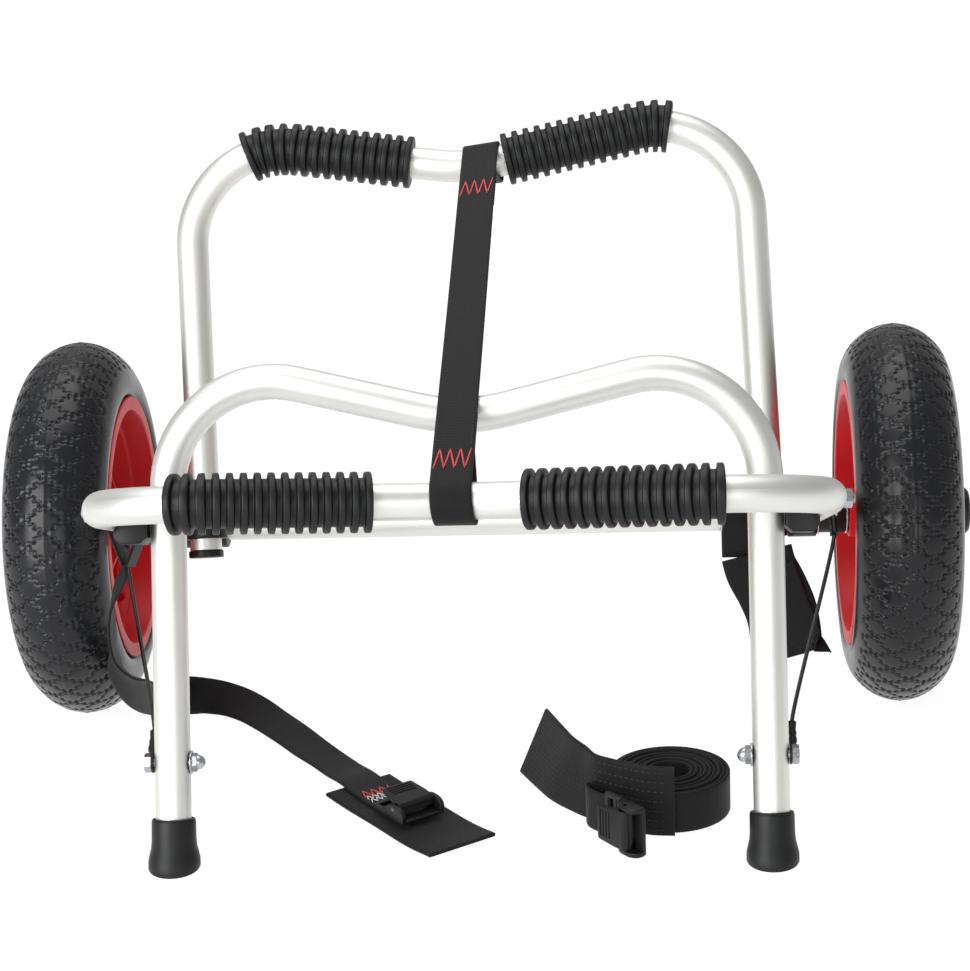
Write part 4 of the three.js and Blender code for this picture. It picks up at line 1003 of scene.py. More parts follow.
class CART_OT_axle_fittings(bpy.types.Operator):
    """Makes the washers, spacers, hub caps, collars and leg caps"""

    bl_idname = "cart.axle_fittings"
    bl_label = "Axle fittings"

    def execute(self, context):
        bore = context.scene.cart_bars.tube_radius + 0.0001
        for side, name in ((1, "right"), (-1, "left")):
            for part, start, length, radius, finish in (
                ("frame_washer", 0.2283, 0.0015, 0.0144, "steel"),
                ("axle_spacer", 0.2301, 0.0177, 0.0135, "plastic"),
                ("hub_washer", 0.2481, 0.0015, 0.0144, "steel"),
            ):
                corners = oblong(bore, radius, start, start + length)
                skin = Skin().turned(eased(corners, 0.0005, 4), 48, AXLE, side * X_WAY, closed=True)
                show(f"{name}_{part}_turned", skin, finish, "axle_frame", f"{name}_{part}")
            self.hub_cap(name, side)
            self.front_collar(name, side, bore)
            self.rear_collar(name, side, bore)
            self.leg_cap(name, side)
        return {"FINISHED"}

    def hub_cap(self, name, side):
        """A push-in cap: a domed head with a shallow ring sunk in its face, and a plain stem."""
        start, end, tip = 0.3221, 0.3327, 0.3041
        stem, head = 0.0088, 0.016
        profile = [
            (0.0, tip),
            (stem, tip),
            (stem, start),
            (head, start),
            (head, end - 0.0026),
            (0.0138, end - 0.0004),
            (0.0112, end),
            (0.0100, end - 0.0010),
            (0.0062, end - 0.0010),
            (0.0050, end),
            (0.0, end),
        ]
        skin = Skin().turned(eased(profile, 0.0008, 5, closed=False), 56, AXLE, side * X_WAY)
        show(f"{name}_hub_cap_domed", skin, "plastic", "axle_frame", f"{name}_hub_cap")

    def front_collar(self, name, side, bore):
        """An eye round the axle and a neck with a spigot that goes up inside the rail."""
        half = 0.010
        corners = oblong(bore, SLEEVE_RADIUS, -half, half)
        middle = AXLE + side * FRONT_HALF * X_WAY
        skin = Skin().turned(eased(corners, 0.0012, 5), 56, middle, X_WAY, closed=True)
        neck, spigot = 0.0099, 0.0088
        base, step, top = 0.0135, 0.0163, 0.045
        profile = [(0.0, base), (neck, base), (neck, step), (spigot, step), (spigot, top), (0.0, top)]
        skin.turned(eased(profile, 0.0008, 4, closed=False), 40, middle, ways(FRONT)[1])
        show(f"{name}_front_collar_eye", skin, "plastic", "front_frame", f"{name}_front_collar")

    def rear_collar(self, name, side, bore):
        """A tee: a sleeve on the axle crossed by a sleeve that holds a leg."""
        rail_side = FRONT_HALF - TUBE_RADIUS - GAP
        start, end = REAR_HALF - TEE_HALF, rail_side - 0.0004
        corners = oblong(bore, SLEEVE_RADIUS, start, end)
        skin = Skin().turned(eased(corners, 0.0012, 5), 56, AXLE, side * X_WAY, closed=True)
        level = -side * REAR_HALF * math.tan(REAR_SKEW)
        foot = on_plane(np.array([side * REAR_HALF, level, 0.0]), REAR)
        half, outside = 0.011, 0.0152
        corners = oblong(bore, outside, -half, half)
        grid = turned(eased(corners, 0.0012, 5), 56, foot, ways(REAR)[1])
        grid[..., 0] = np.clip(grid[..., 0], -rail_side, rail_side)
        skin.grid(grid, closed_rows=True)
        show(f"{name}_rear_collar_tee", skin, "plastic", "axle_frame", f"{name}_rear_collar")

    def leg_cap(self, name, side):
        """A round plug under a leg of the rear bar."""
        place = on_plane(np.array([side * REAR_HALF, 0.0, 0.0]), REAR)
        top = -REAR_TAILS[name] - GAP
        low, high = top - 0.005, top + 0.012
        head, stem = 0.012, 0.0088
        profile = [(0.0, low), (head, low), (head, top), (stem, top), (stem, high), (0.0, high)]
        skin = Skin().turned(eased(profile, 0.0011, 5, closed=False), 48, place, ways(REAR)[1])
        show(f"{name}_leg_cap", skin, "plastic", "axle_frame", f"{name}_rear_leg_cap")


# Pivots, bolts, feet and lanyards


def hex_head(skin, origin, axis, radius, height, chamfer=0.86):
    """A hexagon's flats drawn up to a chamfered face.

    At a turn t the hexagon's reach is flat / cos(t within a sixth), and the face drops by 0.5 times
    what the reach has over the chamfer's circle.
    """
    flat = radius * math.cos(math.pi / 6)
    t = np.arange(72) / 72 * FULL_TURN
    reach = flat / np.cos((t + math.pi / 6) % (math.pi / 3) - math.pi / 6)
    share = np.array([0.0, 0.6, 0.86, 0.93, 1.0])[:, None]
    radii = share * reach[None]
    face = height - 0.5 * np.clip(radii - radius * chamfer, 0, None)
    radii = np.concatenate([radii, reach[None], 0.3 * reach[None], 0 * reach[None]])
    places = np.concatenate([face, np.zeros((3, len(t)))])
    axis = unit(np.asarray(axis, float))
    side = unit(np.cross(axis, Y_WAY))
    up = np.cross(axis, side)
    around = np.cos(t)[:, None] * side + np.sin(t)[:, None] * up
    return skin.grid(origin + places[..., None] * axis + radii[..., None] * around)


def threaded(skin, start, end, radius, pitch=0.0010):
    """A shank whose far half carries threads: radius less 0.4 mm * (0.5 + 0.5 cos(turns))."""
    span = np.linalg.norm(end - start)
    places = np.linspace(0, span, max(24, int(span / pitch * 6)))
    saw = 0.5 + 0.5 * np.cos(places / pitch * FULL_TURN)
    radii = radius - 0.0004 * saw * (places > span * 0.45)
    radii = np.concatenate([[0.0], radii, [radius * 0.7, 0.0]])
    places = np.concatenate([[0.0], places, [span + 0.0003, span + 0.0003]])
    return skin.turned(np.stack([radii, places], -1), 24, start, end - start)


class CART_OT_pivots(bpy.types.Operator):
    """Makes the pivot blocks, bolts, nuts and the stand's rubber feet"""

    bl_idname = "cart.pivots"
    bl_label = "Pivots and feet"

    def execute(self, context):
        for side, name in ((1, "right"), (-1, "left")):
            self.block(name, side)
            self.pivot_bolt(name, side)
            self.anchor_bolt(name, side)
            self.leg_bolt(name, side)
            self.foot(name, side)
        return {"FINISHED"}

    def block(self, name, side):
        """A block's outline across the rail, carried along it, with a hollow for the rail."""
        inner, around, length = 0.19355, 0.0117, 0.027
        low, high, slant = -0.009, 0.020, 0.004
        outer = FRONT_HALF - around
        shelf = outer + 0.0076
        turn = np.linspace(math.pi, math.acos((shelf - FRONT_HALF) / around), 14)
        hollow = np.stack([FRONT_HALF + around * np.cos(turn), around * np.sin(turn)], -1)
        top = [[shelf, high - slant], [shelf - slant, high], [inner + slant, high], [inner, high - slant]]
        outline = np.concatenate([[[outer, low]], hollow, top, [[inner, low]]])
        across, along, down = ways(FRONT)
        made = np.eye(4)
        made[:3, 0], made[:3, 1], made[:3, 2] = side * across, down, along
        made[:3, 3] = on_plane(np.array([0.0, PIVOT_AT - length / 2, 0.0]), FRONT)
        skin = Skin().prism(outline, length, made, 0.0010)
        show(f"{name}_pivot_block_moulded", skin, "plastic", "front_frame", f"{name}_pivot_block")

    def pivot_bolt(self, name, side):
        """A hex bolt through the stand's leg, the block and the rail, with a nut outside."""
        seat = STAND_HALF - TUBE_RADIUS - GAP
        nut = FRONT_HALF + TUBE_RADIUS + GAP
        start, end = seat - HEAD_HEIGHT + 0.002, nut + NUT_HEIGHT + SHANK_PROUD
        place, out = on_plane(np.array([0.0, PIVOT_AT, 0.0]), FRONT), side * X_WAY
        skin = Skin()
        hex_head(skin, place + seat * out, -out, BOLT_HEX, HEAD_HEIGHT)
        hex_head(skin, place + nut * out, out, BOLT_HEX, NUT_HEIGHT)
        threaded(skin, place + start * out, place + end * out, SHANK_RADIUS)
        show(f"{name}_pivot_bolt_hex", skin, "steel", "front_frame", f"{name}_pivot_bolt")

    def anchor_bolt(self, name, side):
        """A bolt through the rail, its head over the lanyard's eyelet and its nut inside."""
        head = FRONT_HALF + TUBE_RADIUS + 2 * GAP + EYELET_WALL
        nut = FRONT_HALF - TUBE_RADIUS - GAP
        start, end = head + 0.002, nut - NUT_HEIGHT - SHANK_PROUD
        place, out = on_plane(np.array([0.0, ANCHOR_AT, 0.0]), FRONT), side * X_WAY
        skin = Skin()
        hex_head(skin, place + head * out, out, BOLT_HEX, HEAD_HEIGHT)
        hex_head(skin, place + nut * out, -out, BOLT_HEX, NUT_HEIGHT)
        threaded(skin, place + start * out, place + end * out, SHANK_RADIUS)
        show(f"{name}_anchor_bolt_hex", skin, "steel", "front_frame", f"{name}_anchor_bolt")

    def leg_bolt(self, name, side):
        """A bolt through the stand's leg, with an acorn nut inside and its head over an eyelet."""
        head = STAND_HALF + TUBE_RADIUS + 2 * GAP + EYELET_WALL
        inside = STAND_HALF - TUBE_RADIUS - GAP
        place, out = on_plane(np.array([0.0, LEG_BOLT_AT, 0.0]), STAND), side * X_WAY
        seat = place + inside * out
        skin = Skin()
        hex_head(skin, place + head * out, out, BOLT_HEX, HEAD_HEIGHT)
        hex_head(skin, seat, -out, 0.0058, 0.0042)
        # The acorn's dome is a quarter of an ellipse, over a thin washer.
        crown, base, rise = 0.0047, 0.0038, 0.0052
        turn = np.linspace(0, math.pi / 2, 9)
        dome = np.stack([crown * np.cos(turn), base + rise * np.sin(turn)], -1)
        dome = np.concatenate([[[0.0, 0.0], [crown, 0.0]], dome])
        skin.turned(dome, 32, seat, -out)
        hole, edge, wall = 0.0033, 0.0072, 0.0009
        corners = oblong(hole, edge, 0.0, wall)
        skin.turned(eased(corners, 0.0002, 3), 40, seat, -out, closed=True)
        threaded(skin, place + (head + 0.002) * out, place + (inside - 0.004) * out, SHANK_RADIUS)
        show(f"{name}_leg_bolt_hex", skin, "steel", "stand", f"{name}_leg_bolt")

    def foot(self, name, side):
        """A turned boot whose flared base is cut level with the ground.

        Each point keeps its radius and turn, and its place along the leg is a share of the way from
        the ground under it to the boot's lip.
        """
        height = 0.030
        table = [
            (0.0155, 0.0),
            (0.0160, 0.03),
            (0.0159, 0.17),
            (0.0150, 0.30),
            (0.0141, 0.42),
            (0.0137, 0.58),
            (0.0136, 0.93),
            (0.0132, 0.985),
            (0.0126, 1.0),
            (0.0118, 0.995),
            (0.0112, 0.97),
        ]
        profile = np.array(table)
        base = STAND_FOOT + side * STAND_HALF * X_WAY
        across, along, out = ways(STAND)
        t = (np.arange(56) / 56 * FULL_TURN)[None, :, None]
        around = np.cos(t) * across + np.sin(t) * out
        radii = profile[:, 0][:, None, None]
        side_points = radii * around
        ground = -(base[2] + side_points[..., 2:3]) / along[2]
        reach = ground + (height - ground) * profile[:, 1][:, None, None]
        wall = base + side_points + reach * along
        under = []
        for share in (0.97, 0.6, 0.0):
            flat = share * profile[0, 0] * around[0]
            under.append(base + flat - (base[2] + flat[:, 2:3]) / along[2] * along)
        floor = 0.010
        bore = base + profile[-1, 0] * around[0] + floor * along
        middle = base + 0 * around[0] + floor * along
        rows = np.concatenate([np.stack(under[::-1]), wall, bore[None], middle[None]])
        rows[..., 2] = np.maximum(rows[..., 2], 0.0)
        skin = Skin().grid(rows)
        show(f"{name}_foot_boot", skin, "grip", "stand", f"{name}_stand_foot", 40)


def lanyard_ends():
    """The right lanyard's two eyelet places, the heading between them and its two crimp ends."""
    out = TUBE_RADIUS + GAP
    low = on_plane(np.array([STAND_HALF + out, LEG_BOLT_AT, 0.0]), STAND)
    high = on_plane(np.array([FRONT_HALF + out, ANCHOR_AT, 0.0]), FRONT)
    heading = unit((high - low) * [0, 1, 1])
    reach = 0.0066 + 0.015 + 0.0003
    rise = 0.0027 * math.cos(math.pi / 8) * X_WAY
    return low, high, heading, low + reach * heading + rise, high - reach * heading + rise


class CART_OT_lanyards(bpy.types.Operator):
    """Makes the two wire lanyards with their crimps and eyelets"""

    bl_idname = "cart.lanyards"
    bl_label = "Lanyards"

    def execute(self, context):
        low, high, heading, start, end = lanyard_ends()
        for side, name in ((1, "right"), (-1, "left")):
            flip = np.array([side, 1, 1])
            self.end(f"{name}_lower", low * flip, heading, side, "stand")
            self.end(f"{name}_upper", high * flip, -heading, side, "front_frame")
            self.wire(name, start, end, heading, flip)
        return {"FINISHED"}

    def end(self, name, place, way, side, body):
        """An eyelet flattened from a tube, and the crimped sleeve that holds the wire."""
        out = side * X_WAY
        skin = Skin()
        hole, rim = 0.0035, 0.0062
        corners = oblong(hole, rim, 0.0, EYELET_WALL)
        skin.turned(eased(corners, 0.0003, 4), 40, place, out, closed=True)
        # The sleeve goes from a flat tongue to a round tube, pinched twice, with a flared mouth.
        s = np.linspace(0, 1, 40)
        tongue = np.minimum(1, s * 4)
        reach, rise = 0.0052 + 0.0178 * s, 0.0007 + 0.0018 * tongue
        path = place + reach[:, None] * way + rise[:, None] * out
        pinch = 1 - 0.16 * np.exp(-(((s - 0.45) / 0.07) ** 2)) - 0.16 * np.exp(-(((s - 0.72) / 0.07) ** 2))
        flare = 1 + 0.12 * np.clip((s - 0.9) / 0.1, 0, 1)
        radius = 0.0026
        wide = radius * flare * (1 + 0.3 * (1 - pinch))
        thick = np.minimum(radius, 0.0006 + 0.0024 * tongue) * pinch * flare
        section = ring(1.0, 24)[None] * np.stack([wide, thick], -1)[:, None]
        skin.capped(carried(path, np.cross(way, out), section))
        show(name + "_crimp", skin, "plastic", body, f"{name}_lanyard_end")

    def wire(self, name, start, end, heading, flip):
        """The jacketed wire: a cubic from crimp to crimp that leaves each along the crimp."""
        lead = 0.012
        t = np.linspace(0, 1, 40)[:, None]
        a, b = start + lead * heading, end - lead * heading
        path = (1 - t) ** 3 * start + 3 * t * (1 - t) ** 2 * a + 3 * t**2 * (1 - t) * b + t**3 * end
        path = path * flip
        skin = Skin().capped(carried(path, X_WAY, ring(WIRE_RADIUS, 12)))
        wire = show(name + "_lanyard_wire", skin, "wire", None, f"{name}_lanyard")
        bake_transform(wire)


# Straps


def placed(table):
    """Route places in millimetres from under the axle, as metres in the cart's frame."""
    table = np.asarray(table, float)
    places = table[:, :3] * MM + [0.0, AXLE[1], 0.0]
    return np.concatenate([places, table[:, 3:]], 1)


LEFT_HANGING = [
    (-219, -173.7, 156.7, 0.4, -0.85, 0.3),
    (-224, -174.5, 149, 0.4, -0.85, 0.3),
    (-229.5, -176, 136, 0.2, -1, 0.2),
    (-231, -177, 118, 0.05, -1, 0.1),
    (-230.5, -176, 104, 0.12, -0.97, 0.05),
    (-229, -170, 91, 0.5, -0.8, 0),
    (-226.5, -157, 76, 0.85, -0.35, 0.2),
    (-224, -137, 59, 0.85, -0.05, 0.4),
    (-222.5, -110, 44, 0.75, 0.15, 0.6),
    (-222, -80, 31, 0.6, 0.3, 0.7),
]
LEFT_LYING = [
    (-221.9, -79.4, 30.8, 0.6, 0.3, 0.7),
    (-221, -52, 20, 0.45, 0.35, 0.8),
    (-216, -30, 13.6, 0.2, 0.45, 0.85),
    (-205, -23, 10.6, 0, 0.62, 0.74),
    (-185, -28, 8.8, 0.15, 0.8, 0.52),
    (-168, -40.5, 7.2, 0.4, 0.88, 0.36),
    (-152.6, -57.5, 5.4, 0.6, 0.8, 0.2),
    (-135, -80, 4.2, 0.75, 0.6, 0.12),
    (-117.5, -104.5, 3, 0.8, 0.6, 0.06),
    (-104, -122.5, 2.4, 0.8, 0.6, 0),
    (-93, -139.5, 3, 0.79, 0.61, 0),
    (-82, -157, 4.9, 0.79, 0.61, 0),
    (-68, -178, 4.2, 0.79, 0.61, 0),
    (-47, -205.5, 4.2, 0.79, 0.61, 0),
]
LEFT_PAD = [
    (-80.6, -162, 2, -0.77, -0.64, 0),
    (-71, -174.5, 1.5, -0.78, -0.62, 0),
    (-45, -208, 1.5, -0.79, -0.61, 0),
    (-19, -241.5, 1.6, -0.8, -0.6, 0),
    (-6.7, -257.5, 3.6, -0.8, -0.6, 0),
]
RIGHT_PAD = [
    (187, -3.7, 103, 1, 0, 0),
    (189.5, -5, 93, 1, 0, 0.2),
    (197, -7, 78, 1, 0, 0.28),
    (203.5, -8.5, 62, 1, 0, 0.2),
    (206.5, -9, 46, 1, 0, 0.16),
    (207.5, -9, 27, 1, 0, 0.2),
]
RIGHT_TAIL = [
    (200, -8.6, 94, 1, 0, 0.2),
    (205, -10.4, 80, 1, 0, 0.1),
    (211.5, -11.6, 62, 1, 0, -0.1),
    (219.5, -12.4, 46, 0.95, -0.05, -0.4),
    (238, -13.2, 32, 0.6, -0.15, -0.8),
]
COIL_PAD = [
    (34.2, -140.3, 22.4, 0.4, 0.16, 0.9),
    (44.5, -166, 22.8, 0.38, 0, 0.92),
    (54.2, -188.2, 23.3, 0.36, -0.14, 0.92),
    (64.8, -204.5, 23.6, 0.3, -0.2, 0.92),
    (75, -217.9, 23.8, 0.23, -0.28, 0.93),
    (85.4, -226.3, 23.8, 0.12, -0.14, 0.98),
    (96, -232.8, 23.7, 0.03, -0.05, 1),
    (107.2, -239, 23.6, 0, 0, 1),
    (124, -241.5, 23.6, 0, 0, 1),
]
COIL_TAB = [
    (77, -219.4, 14.6, 0, 0, 1),
    (70.2, -221.5, 14.6, 0, 0, 1),
    (70.8, -227, 14.6, 0, 0, 1),
    (76, -234.5, 14.6, 0, 0, 1),
    (81.4, -239.9, 14.6, 0, 0, 1),
]


def strap(skin, route, width, wall, steps, across=12, end=None):
    """Webbing along a route of places and width directions; returns its length and its frames.

    `end` is the share of its length from which its width falls to a point, and the power of that
    fall: width * (1 - t^power), where 1 is a pointed end and 4 is a round one.
    """
    smooth = through(route, steps)
    path, way = smooth[:, :3], unit(smooth[:, 3:])
    profile = np.broadcast_to(flat_band(width, wall, across), (steps, 2 * across + 6, 2))
    if end:
        t = np.clip((np.linspace(0, 1, steps) - end[0]) / (1 - end[0]), 0, 1)
        narrow = np.maximum(1 - t ** end[1], 0.04)
        profile = profile * np.stack([narrow, np.ones(steps)], -1)[:, None]
    skin.capped(carried(path, way, profile))
    along = headings(path)
    wide = unit(way - (way * along).sum(-1, keepdims=True) * along)
    return lengths(path)[-1], path, wide, np.cross(along, wide)


def stitches(skin, path, wide, thick, offset, lift, first, last, pitch=0.0032, size=0.0003):
    """A row of stitches beside a strap's middle, each a short thread 0.7 of the pitch long."""
    at = lengths(path)
    starts = np.arange(at[-1] * first, at[-1] * last - pitch, pitch)
    line = path + offset * wide + lift * thick
    for start in starts:
        s = start + np.linspace(0, 0.7, 5) * pitch
        dip = -size * 0.9 * np.array([1, 0.2, 0, 0.2, 1])[:, None]
        place = np.stack([np.interp(s, at, column) for column in line.T], -1)
        up = np.stack([np.interp(s, at, column) for column in thick.T], -1)
        skin.thread(place + dip * up * np.sign(lift), size)


def zigzag(skin, path, wide, thick, at_share, span, reach, lift, teeth=9, size=0.00035, tall=False):
    """A bar tack: a thread that swings `reach` to each side while it goes `span` along a strap.

    A tall one goes from side to side once, and swings half of `span` up and down the strap.
    """
    at = lengths(path)
    t = np.linspace(0, 1, teeth * 6 + 1)
    wave = 2 * np.abs(2 * ((t * teeth / 2) % 1) - 1) - 1
    step = wave / 2 if tall else t - 0.5
    s = at[-1] * at_share + step * span
    swing = (2 * t - 1 if tall else wave) * reach
    place = np.stack([np.interp(s, at, column) for column in path.T], -1)
    side = np.stack([np.interp(s, at, column) for column in wide.T], -1)
    up = np.stack([np.interp(s, at, column) for column in thick.T], -1)
    skin.thread(place + swing[:, None] * side + lift * up, size)


def loop_route(drop, radius, wall):
    """A loop's middle line in (x, y): from a tip at `drop`, round a circle and back to the tip."""
    lean = math.atan2(-wall / 2, drop) - math.acos(radius / math.hypot(drop, wall / 2))
    turn = np.linspace(-lean, FULL_TURN + lean, 60)
    circle = radius * np.stack([np.cos(turn), np.sin(turn)], -1)
    run = np.linspace(0, 1, 8)[:-1, None]
    down = np.array([[drop, wall / 2]]) * (1 - run) + circle[:1] * run
    back = circle[-1:] + (np.array([[drop, -wall / 2]]) - circle[-1:]) * np.linspace(0, 1, 8)[1:, None]
    return np.concatenate([down, circle, back])


class CART_OT_spreader(bpy.types.Operator):
    """Makes the webbing strap that spreads the rear and front bars, with its bar tacks"""

    bl_idname = "cart.spreader"
    bl_label = "Spreader strap"

    def execute(self, context):
        bars, webbing = context.scene.cart_bars, context.scene.cart_webbing
        rear, rear_run = self.bar_at(REAR_SHAPE, REAR, 0.003, bars)
        front, front_run = self.bar_at(FRONT_SHAPE, FRONT, -0.002, bars)
        down = front - rear
        span = np.linalg.norm(down)
        down = down / span
        up = unit(np.cross(rear_run, down))
        up = up if up[2] > 0 else -up
        radius, under = SPREADER_LOOP, 0.01145
        start, end = 0.032, 0.068
        lean = math.atan2(under, start) - math.acos(radius / math.hypot(under, start))
        turn = np.linspace(FULL_TURN + lean, math.pi / 2, 40)
        loop = radius * np.stack([np.cos(turn), np.sin(turn)], -1)
        sewn = np.array([[end, under], [(start + end) / 2, under], [start, under]])
        approach = sewn[-1] + (loop[0] - sewn[-1]) * np.linspace(0, 1, 6)[1:-1, None]
        near = np.concatenate([sewn, approach, loop])
        far = np.stack([span - near[::-1, 0], near[::-1, 1]], -1)
        run = np.linspace(0, span, 90)[1:-1]
        # The strap bellies a little between the bars: 0.8 mm * sin(pi * share)^2.
        sag = radius - 0.0008 * np.sin(run / span * math.pi) ** 2
        line = np.concatenate([near, np.stack([run, sag], -1), far])
        share = np.clip(line[:, 0:1] / span, 0, 1)
        across = unit(rear_run * (1 - share) + front_run * share)
        path = rear + line[:, 0:1] * down + line[:, 1:2] * up
        # Even steps keep the weave even where the route's own places lie close.
        route = np.concatenate([path, across], -1)
        at = lengths(path)
        even = np.linspace(0, at[-1], 360)
        smooth = np.stack([np.interp(even, at, column) for column in route.T], -1)
        skin = Skin().capped(
            carried(smooth[:, :3], smooth[:, 3:], flat_band(webbing.spreader_width, webbing.wall, 12))
        )
        made = show("spreader_webbing", skin, "webbing", None, "spreader_strap", 50)
        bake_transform(made)
        self.tacks(rear, front, down, up, rear_run, front_run, span, webbing)
        return {"FINISHED"}

    def tacks(self, rear, front, down, up, rear_run, front_run, span, webbing):
        """Red zigzags and a box of black stitches where each loop is sewn."""
        t = np.linspace(0, 1, 160)[:, None]
        path = rear + t * span * down + SPREADER_LOOP * up
        wide = unit(rear_run * (1 - t) + front_run * t)
        thick = np.broadcast_to(up, path.shape)
        lift = webbing.wall / 2 + 0.0001
        skin = Skin()
        for middle in (0.050, span - 0.022):
            zigzag(skin, path, wide, thick, middle / span, 0.018, 0.0108, lift, 7, 0.0005, tall=True)
        made = show("spreader_bar_tacks", skin, "red thread", None, sharp=60)
        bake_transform(made)
        skin = Skin()
        for first, last in ((0.034, 0.066), (span - 0.066, span - 0.034)):
            for offset in (-0.0105, 0.0105):
                stitches(skin, path, wide, thick, offset, lift, first / span, last / span)
        made = show("spreader_edge_stitches", skin, "black thread", None, sharp=60)
        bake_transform(made)

    def bar_at(self, shape, plane, place, sizes):
        """A bar's middle line near its dip: the point at a place across and the way it runs."""
        _, dip = bar_line(*shape, 0.0, sizes)
        lowest = on_plane(np.array([0.0, dip, 0.0]), plane)
        turn = math.asin((place - lowest[0]) / sizes.dip_radius)
        x = sizes.dip_radius * math.sin(turn)
        y = dip + sizes.dip_radius * (1 - math.cos(turn))
        middle = on_plane(np.array([x, y, 0.0]), plane)
        return middle, np.array([math.cos(turn), math.sin(turn), 0.0]) @ plane[:3, :3].T


class CART_OT_left_strap(bpy.types.Operator):
    """Makes the left tie strap: its loop, the hanging and lying webbing, the pad and its stitches"""

    bl_idname = "cart.left_strap"
    bl_label = "Left strap"

    def execute(self, context):
        sizes = context.scene.cart_webbing
        width, wall = sizes.tie_width, sizes.wall
        flat, place = loop_route(0.032, LOOP_RADIUS, LOOP_LAYERS), 0.172
        local = np.stack([flat[:, 1] - FRONT_HALF, 0 * flat[:, 0] + place, flat[:, 0]], -1)
        path = on_plane(local, FRONT)
        skin = Skin().capped(carried(path, ways(FRONT)[1], flat_band(width, wall)))
        loop = show("left_strap_loop_webbing", skin, "webbing", "front_frame", "left_strap_loop", 50)

        skin = Skin()
        length, *_ = strap(skin, placed(LEFT_HANGING), width, wall, 120)
        hanging = show("left_strap_hanging_webbing", skin, "webbing", None, "left_strap_hanging", 50)
        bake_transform(hanging)

        skin = Skin()
        length, path, wide, thick = strap(skin, placed(LEFT_LYING), width, wall, 180)
        lying = show("left_strap_lying_webbing", skin, "webbing", "axle_frame", "left_strap_lying", 50)

        skin = Skin()
        length, *_ = strap(skin, placed(LEFT_PAD), sizes.pad_width, sizes.pad_wall, 90, 16)
        pad = show("left_pad_webbing", skin, "pad", "axle_frame", "left_strap_pad", 50)

        up = 1 if thick[-1, 2] > 0 else -1
        lift = up * (wall / 2 + 0.0001)
        skin = Skin()
        zigzag(skin, path, wide, thick, 0.895, 0.009, 0.0105, lift, 7, 0.0004, tall=True)
        show("left_pad_bar_tack", skin, "red thread", "axle_frame", sharp=60)
        skin = Skin()
        for share in (0.912, 0.928):
            zigzag(skin, path, wide, thick, share, 0.005, 0.0105, lift, 11, 0.00035, tall=True)
        show("left_pad_pale_stitches", skin, "pale thread", "axle_frame", sharp=60)
        return {"FINISHED"}


class CART_OT_right_strap(bpy.types.Operator):
    """Makes the right tie strap: its loop on the axle, the folded pad and its tail"""

    bl_idname = "cart.right_strap"
    bl_label = "Right strap"

    def execute(self, context):
        sizes = context.scene.cart_webbing
        width = 0.0184
        flat = loop_route(0.0303, LOOP_RADIUS, LOOP_LAYERS)
        place = REAR_HALF - TEE_HALF - GAP - width / 2
        path = AXLE + np.stack([0 * flat[:, 0] + place, flat[:, 1], -flat[:, 0]], -1)
        skin = Skin().capped(carried(path, X_WAY, flat_band(width, sizes.wall)))
        loop = show("right_strap_loop_webbing", skin, "webbing", "axle_frame", "right_strap_loop", 50)

        skin = Skin()
        length, *_ = strap(skin, placed(RIGHT_PAD), sizes.pad_width, sizes.pad_wall, 90, 16, (0.84, 3))
        pad = show("right_pad_webbing", skin, "pad", "axle_frame", "right_strap_pad", 50)

        skin = Skin()
        length, path, wide, thick = strap(
            skin, placed(RIGHT_TAIL), sizes.tie_width, sizes.wall, 90, end=(0.62, 1.3)
        )
        tail = show("right_tail_webbing", skin, "webbing", "axle_frame", "right_strap_tail", 50)
        front = -1 if thick[-1, 1] > 0 else 1
        skin = Skin()
        zigzag(skin, path, wide, thick, 0.8, 0.003, 0.0045, front * (sizes.wall / 2 + 0.0001), 4, 0.0003)
        show("right_tail_stitches", skin, "pale thread", "axle_frame", sharp=60)
        return {"FINISHED"}


class CART_OT_loose_strap(bpy.types.Operator):
    """Makes the coiled loose strap with its pad and tab"""

    bl_idname = "cart.loose_strap"
    bl_label = "Loose strap"

    def execute(self, context):
        sizes = context.scene.cart_webbing
        turns = sizes.coil_turns
        # A spiral: the radius falls evenly from the outer turn to the core.
        t = np.linspace(0, 1, turns * 56 + 1)
        turn = math.radians(200) + t * turns * FULL_TURN
        core, outer = 0.013, 0.03855
        radius = outer + (core - outer) * t
        height = 0.0141 + 0.0006 * np.sin(turn * 0.37 + 1.1)
        middle = np.array([0.1213, AXLE[1] - 0.200, 0.0])
        path = middle + np.stack([radius * np.cos(turn), radius * np.sin(turn), height], -1)
        skin = Skin().capped(carried(path, Z_WAY, flat_band(sizes.tie_width, 0.0026, 8)))
        coil = show("coil_webbing", skin, "webbing", "loose_strap", "coil_strap", 50)

        skin = Skin()
        pad_width = 0.0465
        length, path, wide, thick = strap(skin, placed(COIL_PAD), pad_width, sizes.pad_wall, 110, 16)
        tab_length, *_ = strap(skin, placed(COIL_TAB), sizes.tie_width, sizes.wall, 60)
        pad = show("coil_pad_webbing", skin, "pad", "loose_strap", "coil_pad", 50)

        front = -1 if thick[-1, 1] > 0 else 1
        skin = Skin()
        lift = front * (sizes.pad_wall / 2 + 0.0001)
        for offset in (-0.019, -0.0127, -0.0064, 0.0, 0.0064, 0.0127, 0.019):
            stitches(skin, path, wide, thick, offset, lift, 0.62, 0.97, 0.0038, 0.00028)
        show("coil_pad_stitches", skin, "black thread", "loose_strap", sharp=60)
        return {"FINISHED"}


# Cam buckles


def buckle_matrix(along, up, place):
    """A buckle's frame: x from the sewn end, z up from its base."""
    x = unit(np.array(along, float))
    z = unit(np.array(up, float))
    y = unit(np.cross(z, x))
    z = np.cross(x, y)
    made = np.eye(4)
    made[:3, 0], made[:3, 1], made[:3, 2] = x, y, z
    made[:3, 3] = np.array(place) * MM + [0.0, AXLE[1], 0.0]
    return made


